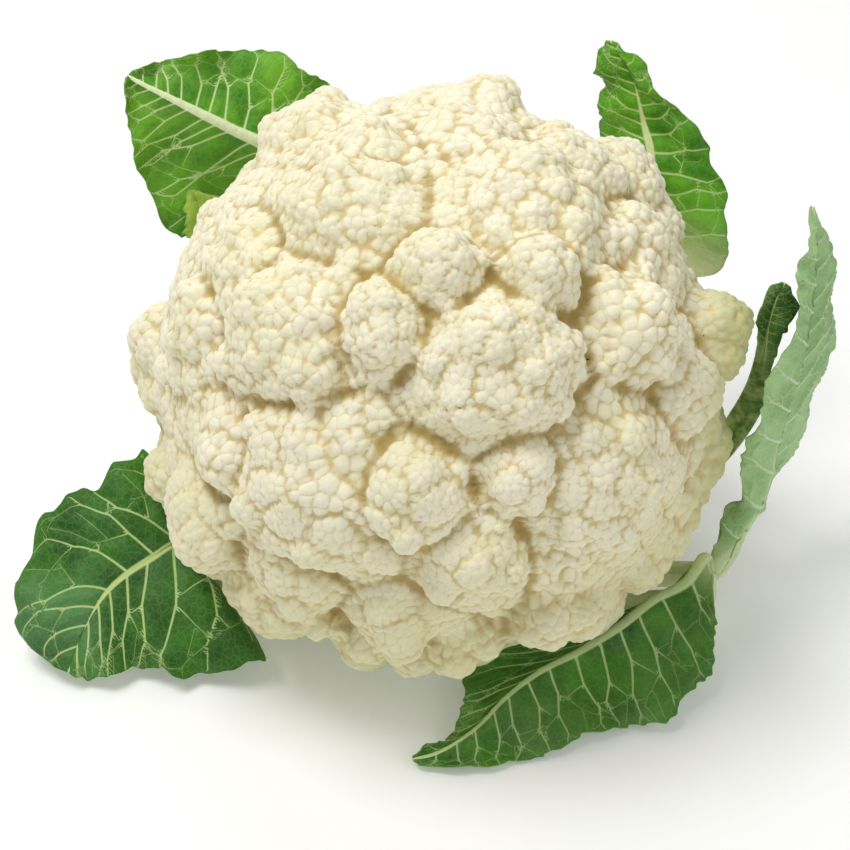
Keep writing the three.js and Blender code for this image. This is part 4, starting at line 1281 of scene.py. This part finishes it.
def build_leaf(leaf, seed, sizes, tones):
    """One leaf: its blade waved and nicked, raised between its veins, on its thick stalk."""
    blade = Blade(leaf, seed)
    step = FINE_BLADE * leaf["mesh"]
    start = blade.length(blade.stalk_share) - 8
    stalk_rows = np.arange(0, start, 3 * step)
    blade_rows = np.linspace(start, blade.lengths[-1], int((blade.lengths[-1] - start) / step))
    shares = blade.share(np.concatenate([stalk_rows, blade_rows]))
    widest = max(
        blade.half_width(share, -1) + blade.half_width(share, 1)
        for share in np.linspace(blade.stalk_share, 1, 40)
    )
    columns = 2 * int(widest / step / 2) + 1
    across = np.linspace(-1, 1, columns)
    rows = len(shares)
    share_grid, across_grid = (grid.ravel() for grid in np.meshgrid(shares, across, indexing="ij"))
    middle = blade.places(share_grid, across_grid)
    normal = grid_normals(middle.reshape(rows, columns, 3)).reshape(-1, 3) * leaf["face"]

    rib = blade.rib(share_grid)
    off = np.linalg.norm(middle - rib, axis=1)
    away, distance, width = vein_offsets(blade, middle, normal, sizes.vein_gap / MM * leaf["veins"])
    in_blade = blade.in_blade(share_grid)
    puff = 1 - np.exp(-((distance / (2.2 * np.maximum(width, 0.25) + 1.1)) ** 2))
    rib_half = 0.3 * leaf["wide"] * (1 - 0.85 * smoothstep(blade.stalk_share, 0.95, share_grid))
    puff *= smoothstep(0.8, 2.5, off / rib_half) * in_blade
    edge_in = 1 - smoothstep(0.9, 1, np.abs(across_grid))
    rise = leaf["puff"] * puff * (0.35 + 0.65 * edge_in)
    ridge = np.exp(-((distance / (1.3 * width + 0.15)) ** 2)) * in_blade * leaf["ridge"]

    depth = 2 * leaf["thick"] * (1 - 0.9 * smoothstep(0.1, 0.95, share_grid))
    breadth = 0.75 * leaf["wide"] * (1 - 0.7 * smoothstep(0.2, 1, share_grid))
    swell = depth * np.exp(-((off / breadth) ** 2))
    half = sizes.blade / MM / 2 * (0.55 + 0.45 * edge_in)
    below = 0.25 if leaf["turned"] else 0.75
    upper = half + (1 - below) * swell + rise
    lower = half + below * swell - rise + ridge
    points = np.vstack([middle + normal * upper[:, None], middle - normal * lower[:, None]])
    low, high = (np.array(corner) / MM for corner in CAD_BOX)
    points = np.clip(points, low + at(0, 0, FLOOR_GAP), high)

    faces = closed_grid(rows, columns, leaf["face"])
    both = {
        "vein_offset": away,
        "vein_near": distance,
        "vein_width": width,
        "rib_offset": np.where(across_grid < 0, -off, off),
        "rib_half": rib_half,
        "edge": np.abs(across_grid),
        "stalk": 1 - smoothstep(blade.stalk_share - 0.04, blade.stalk_share + 0.1, share_grid),
        "puff": puff,
    }
    numbers = {key: np.concatenate([values, values]) for key, values in both.items()}
    top_side = np.full(len(middle), 0.0 if leaf["turned"] else 1.0)
    numbers["upper"] = np.concatenate([top_side, 1 - top_side])
    mesh = new_mesh(leaf["name"] + "_blade", points, faces, numbers)
    add_piece(mesh, leaf_finish(leaf, tones), leaf["name"])


def grid_normals(grid):
    """Normals of a grid of places, across the columns and then along the rows."""
    across = np.gradient(grid, axis=1)
    along = np.gradient(grid, axis=0)
    return unit(np.cross(across, along))


def vein_offsets(blade, middle, normal, spacing):
    """Distance from the nearest side vein with and without its side's sign, and its half width."""
    veins = blade.veins(spacing)
    line = blade.places(veins[:, 0], veins[:, 1])
    ahead = np.roll(line, -1, axis=0) - line
    behind = line - np.roll(line, 1, axis=0)
    goes_on = veins[:, 3] == np.roll(veins[:, 3], -1)
    heading = unit(np.where(goes_on[:, None], ahead, behind))
    tree = KDTree(len(line))
    for index, point in enumerate(line):
        tree.insert(point, index)
    tree.balance()
    nearest = np.array([tree.find(point)[1] for point in middle])
    offset = middle - line[nearest]
    along = np.sum(offset * heading[nearest], axis=1)
    offset -= heading[nearest] * np.clip(along, -VEIN_STEP, VEIN_STEP)[:, None]
    distance = np.linalg.norm(offset, axis=1)
    side = np.sign(np.sum(np.cross(heading[nearest], offset) * normal, axis=1))
    return distance * np.where(side < 0, -1, 1), distance, veins[nearest, 2]


def closed_grid(rows, columns, face):
    """Quads of two grids, one over the other, and of the rim that joins them."""
    index = np.arange(rows * columns).reshape(rows, columns)
    a, b = index[:-1, :-1].ravel(), index[:-1, 1:].ravel()
    c, d = index[1:, :-1].ravel(), index[1:, 1:].ravel()
    count = rows * columns
    top = np.stack([a, b, d, c], 1)
    bottom = np.stack([a, c, d, b], 1) + count
    rim = np.concatenate([index[0, :-1], index[:-1, -1], index[-1, :0:-1], index[:0:-1, 0]])
    after = np.roll(rim, -1)
    sides = np.stack([rim, rim + count, after + count, after], 1)
    faces = np.vstack([top, bottom, sides])
    return faces if face > 0 else faces[:, ::-1]


def leaf_finish(leaf, tones):
    """Green with pale veins and a net between them; the underside is paler; the upper side has
    blue-grey patches, partly the leaf's own wax, partly painted reflection.
    """
    finish = Finish(leaf["name"] + "_finish")
    upper = finish.attribute("upper")
    edge = finish.attribute("edge")
    bare = finish.attribute("stalk")
    puff = finish.attribute("puff")
    width = finish.attribute("vein_width")
    near = finish.attribute("vein_near")
    offset = abs(finish.attribute("vein_offset"))
    rib_offset = abs(finish.attribute("rib_offset"))
    rib_half = finish.attribute("rib_half")
    drift = finish.noise(16, 3, 0.55)
    mottle = finish.noise(3.2, 3, 0.6)

    line = (1 - (offset / width).above(0.45, 1.3)) * (1 - near.above(0.5, 0.78))
    line = line * width.above(0.05, 0.3)
    rib = 1 - (rib_offset / rib_half).above(0.75, 1.25)
    halo = 1 - near.above(0.2, 2.4)
    warped = finish.warped(5, 1.6)
    net = 1 - finish.cells(2.2, "DISTANCE_TO_EDGE", warped).above(0.02, 0.12)
    fine_net = 1 - finish.cells(1.15, "DISTANCE_TO_EDGE", warped).above(0.02, 0.16)

    green = finish.mix(drift.above(0.3, 0.72), leaf["dark"], leaf["light"])
    green = finish.mix(mottle.above(0.35, 0.8) * 0.2, green, leaf["light"])
    green = finish.mix(edge.above(0.82, 1.0) * 0.35, green, leaf["rim"])
    green = finish.mix(halo * 0.22, green, leaf["light"])
    green = finish.mix(net * 0.07 + fine_net * 0.03, green, leaf["veins_tone"])
    # Blue-grey patches on the upper side: partly the leaf's own wax, partly painted reflection.
    wax_and_reflection = finish.noise(26, 2, 0.5).above(0.4, 0.75) * leaf["wax_and_reflection"]
    green = finish.mix(wax_and_reflection, green, leaf["wax_and_reflection_tone"])
    pale = finish.mix(drift.above(0.3, 0.7), leaf["under"], leaf["under_light"])
    pale = finish.mix(net * 0.18 + fine_net * 0.08, pale, leaf["veins_tone"])
    body = finish.mix(upper, pale, green)
    veined = finish.mix(line * (0.78 + 0.22 * mottle), body, leaf["veins_tone"])
    stalk = finish.mix(mottle.above(0.3, 0.8), leaf["stalk_tone"], tones.stem)
    stalk = finish.mix(1 - bare, stalk, leaf["rib_tone"])
    whole = finish.mix(bare + (1 - bare) * rib, veined, stalk)

    relief = puff * 0.35 - net * 0.3 - fine_net * 0.14 + mottle * 0.22
    roughness = 0.46 + 0.2 * mottle + 0.14 * (1 - upper) + 0.1 * rib
    return finish.surface({
        "Base Color": whole,
        "Roughness": roughness,
        "Normal": finish.bump(relief, 0.3, 0.6),
        "Specular IOR Level": 0.22,
    })


# The studio.


def build_studio(tones, strength):
    """A pale floor, soft light from above on the left, and the camera at the head's own view."""
    floor = bpy.data.meshes.new("floor")
    half = FLOOR_SIZE / 2
    corners = [(-half, -half, 0), (half, -half, 0), (half, half, 0), (-half, half, 0)]
    floor.from_pydata(corners, [], [(0, 1, 2, 3)])
    ground = bpy.data.objects.new("floor", floor)
    ground.location.z = -FLOOR_DROP
    bpy.context.scene.collection.objects.link(ground)
    finish = Finish("floor_finish")
    grain = finish.noise(40, 2)
    base = finish.mix(grain, tones.floor, [0.98 * part for part in tones.floor])
    floor.materials.append(finish.surface({
        "Base Color": base,
        "Roughness": 0.75 + 0.1 * grain,
        "Emission Color": (1.0, 1.0, 1.0, 1.0),
        "Emission Strength": FLOOR_GLOW,
        "Specular IOR Level": 0.2,
    }))

    world = bpy.data.worlds.new("studio")
    world.use_nodes = True
    sky = world.node_tree.nodes["Background"]
    sky.inputs["Color"].default_value = (1.0, 0.998, 0.99, 1.0)
    sky.inputs["Strength"].default_value = SKY_LIGHT * strength
    bpy.context.scene.world = world
    centre = Vector(CENTRE * MM)
    for name, place, size, power in LAMPS:
        light = bpy.data.lights.new(name, "AREA")
        light.shape = "DISK"
        light.size = size
        light.energy = power * strength
        lamp = bpy.data.objects.new(name, light)
        lamp.location = place
        lamp.rotation_euler = (centre - lamp.location).to_track_quat("-Z", "Y").to_euler()
        bpy.context.scene.collection.objects.link(lamp)

    lens = bpy.data.cameras.new("camera")
    lens.sensor_width = SENSOR
    lens.lens = SENSOR / 2 / (FRAME_PIXELS / 2 * PIXEL / EYE_DISTANCE)
    lens.shift_x = (FRAME_PIXELS / 2 - HEAD_PIXEL[0]) / FRAME_PIXELS
    lens.shift_y = (HEAD_PIXEL[1] - FRAME_PIXELS / 2) / FRAME_PIXELS
    lens.clip_start = 0.01
    camera = bpy.data.objects.new("camera", lens)
    camera.location = EYE * MM
    camera.rotation_euler = (centre - camera.location).to_track_quat("-Z", "Y").to_euler()
    bpy.context.scene.collection.objects.link(camera)
    bpy.context.scene.camera = camera
    bpy.context.scene.view_settings.view_transform = "Standard"


# The add-on.


def size(name, description, default):
    """A length property in metres."""
    return FloatProperty(name=name, description=description, default=default, min=0.0001,
                         subtype="DISTANCE", unit="LENGTH", precision=5)


def shade(name, description, default):
    """A colour property."""
    return FloatVectorProperty(name=name, description=description, default=default,
                               subtype="COLOR", size=3, min=0.0, max=1.0)


class CauliflowerSizes(bpy.types.PropertyGroup):
    lobe: size("Lobe", "Mean width of the lobes on a floret", 0.0085)
    grain: size("Grain", "Mean width of the grains on a lobe", 0.0026)
    vein_gap: size("Vein gap", "Mean distance between a leaf's side veins", 0.0068)
    blade: size("Blade", "Thickness of a leaf between its veins", 0.0006)


class CauliflowerTones(bpy.types.PropertyGroup):
    curd: shade("Curd", "Lit tops of the florets", tone(246, 240, 214))
    curd_cool: shade("Curd, cooler", "Drift of colour over the florets", tone(240, 235, 200))
    # Greener tint low down, partly the curd's own, partly painted shade, and painted shade on the
    # right.
    curd_low_tint_and_shade: shade("Curd, low", "Florets low down and on the right", tone(216, 214, 154))
    # Painted shade that the leaves cast on the florets at the right.
    curd_painted_leaf_shade: shade("Curd, green", "Florets that the leaves shade", tone(178, 182, 112))
    # Crease tone: partly the curd's own warmer tint, partly painted shade.
    crease: shade("Crease", "Creases between grains", tone(218, 200, 146))
    # Deep crease tone: partly the curd's own browner tint, partly painted shade.
    deep: shade("Deep crease", "Deep gaps between florets", tone(176, 152, 88))
    speck: shade("Speck", "Small dark specks in creases", tone(120, 92, 48))
    branch: shade("Branch", "Branches under the head", tone(216, 222, 170))
    stem: shade("Stem", "Skin of the stem and stalks", tone(206, 218, 158))
    stem_pale: shade("Stem, pale", "Paler streaks of the stem", tone(230, 234, 200))
    pith: shade("Pith", "Middle of the cut face", tone(232, 228, 196))
    dry: shade("Dry", "Dry rims of cuts and scars", tone(176, 150, 98))
    young: shade("Young", "Greener patches of the stem", tone(170, 196, 110))
    floor: shade("Floor", "The floor", (0.93, 0.93, 0.93))


class CauliflowerSettings(bpy.types.PropertyGroup):
    sizes: PointerProperty(type=CauliflowerSizes)
    tones: PointerProperty(type=CauliflowerTones)
    seed: IntProperty(name="Seed", description="Start of the leaves' random veins", default=5)
    light: FloatProperty(name="Light", description="Strength of all lights", default=1.0, min=0.0)


def settings():
    return bpy.context.scene.cauliflower


class CAULIFLOWER_OT_curd(bpy.types.Operator):
    """Build the white head of florets"""
    bl_idname = "cauliflower.curd"
    bl_label = "Build Curd"

    def execute(self, context):
        build_curd(settings().sizes, settings().tones)
        return {"FINISHED"}


class CAULIFLOWER_OT_stem(bpy.types.Operator):
    """Build the cut stem under the head"""
    bl_idname = "cauliflower.stem"
    bl_label = "Build Stem"

    def execute(self, context):
        build_stem(settings().sizes, settings().tones)
        return {"FINISHED"}


class CAULIFLOWER_OT_leaves(bpy.types.Operator):
    """Build all leaves with their stalks"""
    bl_idname = "cauliflower.leaves"
    bl_label = "Build Leaves"

    def execute(self, context):
        for index, leaf in enumerate(LEAVES):
            dressed = {**leaf, **GREEN, **LOOKS[leaf["name"]]}
            build_leaf(dressed, settings().seed + index, settings().sizes, settings().tones)
        return {"FINISHED"}


class CAULIFLOWER_OT_studio(bpy.types.Operator):
    """Build the floor, the lights and the camera"""
    bl_idname = "cauliflower.studio"
    bl_label = "Build Studio"

    def execute(self, context):
        build_studio(settings().tones, settings().light)
        return {"FINISHED"}


class CAULIFLOWER_PT_panel(bpy.types.Panel):
    """Sizes, colours and builders of the cauliflower"""
    bl_idname = "CAULIFLOWER_PT_panel"
    bl_label = "Cauliflower"
    bl_space_type = "VIEW_3D"
    bl_region_type = "UI"
    bl_category = "Cauliflower"

    def draw(self, context):
        layout = self.layout
        for group in (settings().sizes, settings().tones):
            box = layout.box()
            for name in group.__annotations__:
                box.prop(group, name)
        layout.prop(settings(), "seed")
        layout.prop(settings(), "light")
        for builder in BUILDERS:
            layout.operator(builder.bl_idname)


BUILDERS = (
    CAULIFLOWER_OT_studio, CAULIFLOWER_OT_curd, CAULIFLOWER_OT_stem, CAULIFLOWER_OT_leaves,
)
CLASSES = (
    CauliflowerSizes, CauliflowerTones, CauliflowerSettings, *BUILDERS, CAULIFLOWER_PT_panel,
)


def register():
    for kind in CLASSES:
        bpy.utils.register_class(kind)
    bpy.types.Scene.cauliflower = PointerProperty(type=CauliflowerSettings)


def unregister():
    del bpy.types.Scene.cauliflower
    for kind in reversed(CLASSES):
        bpy.utils.unregister_class(kind)


def main():
    register()
    bpy.ops.cauliflower.studio()
    bpy.ops.cauliflower.curd()
    bpy.ops.cauliflower.stem()
    bpy.ops.cauliflower.leaves()


if __name__ == "__main__":
    main()
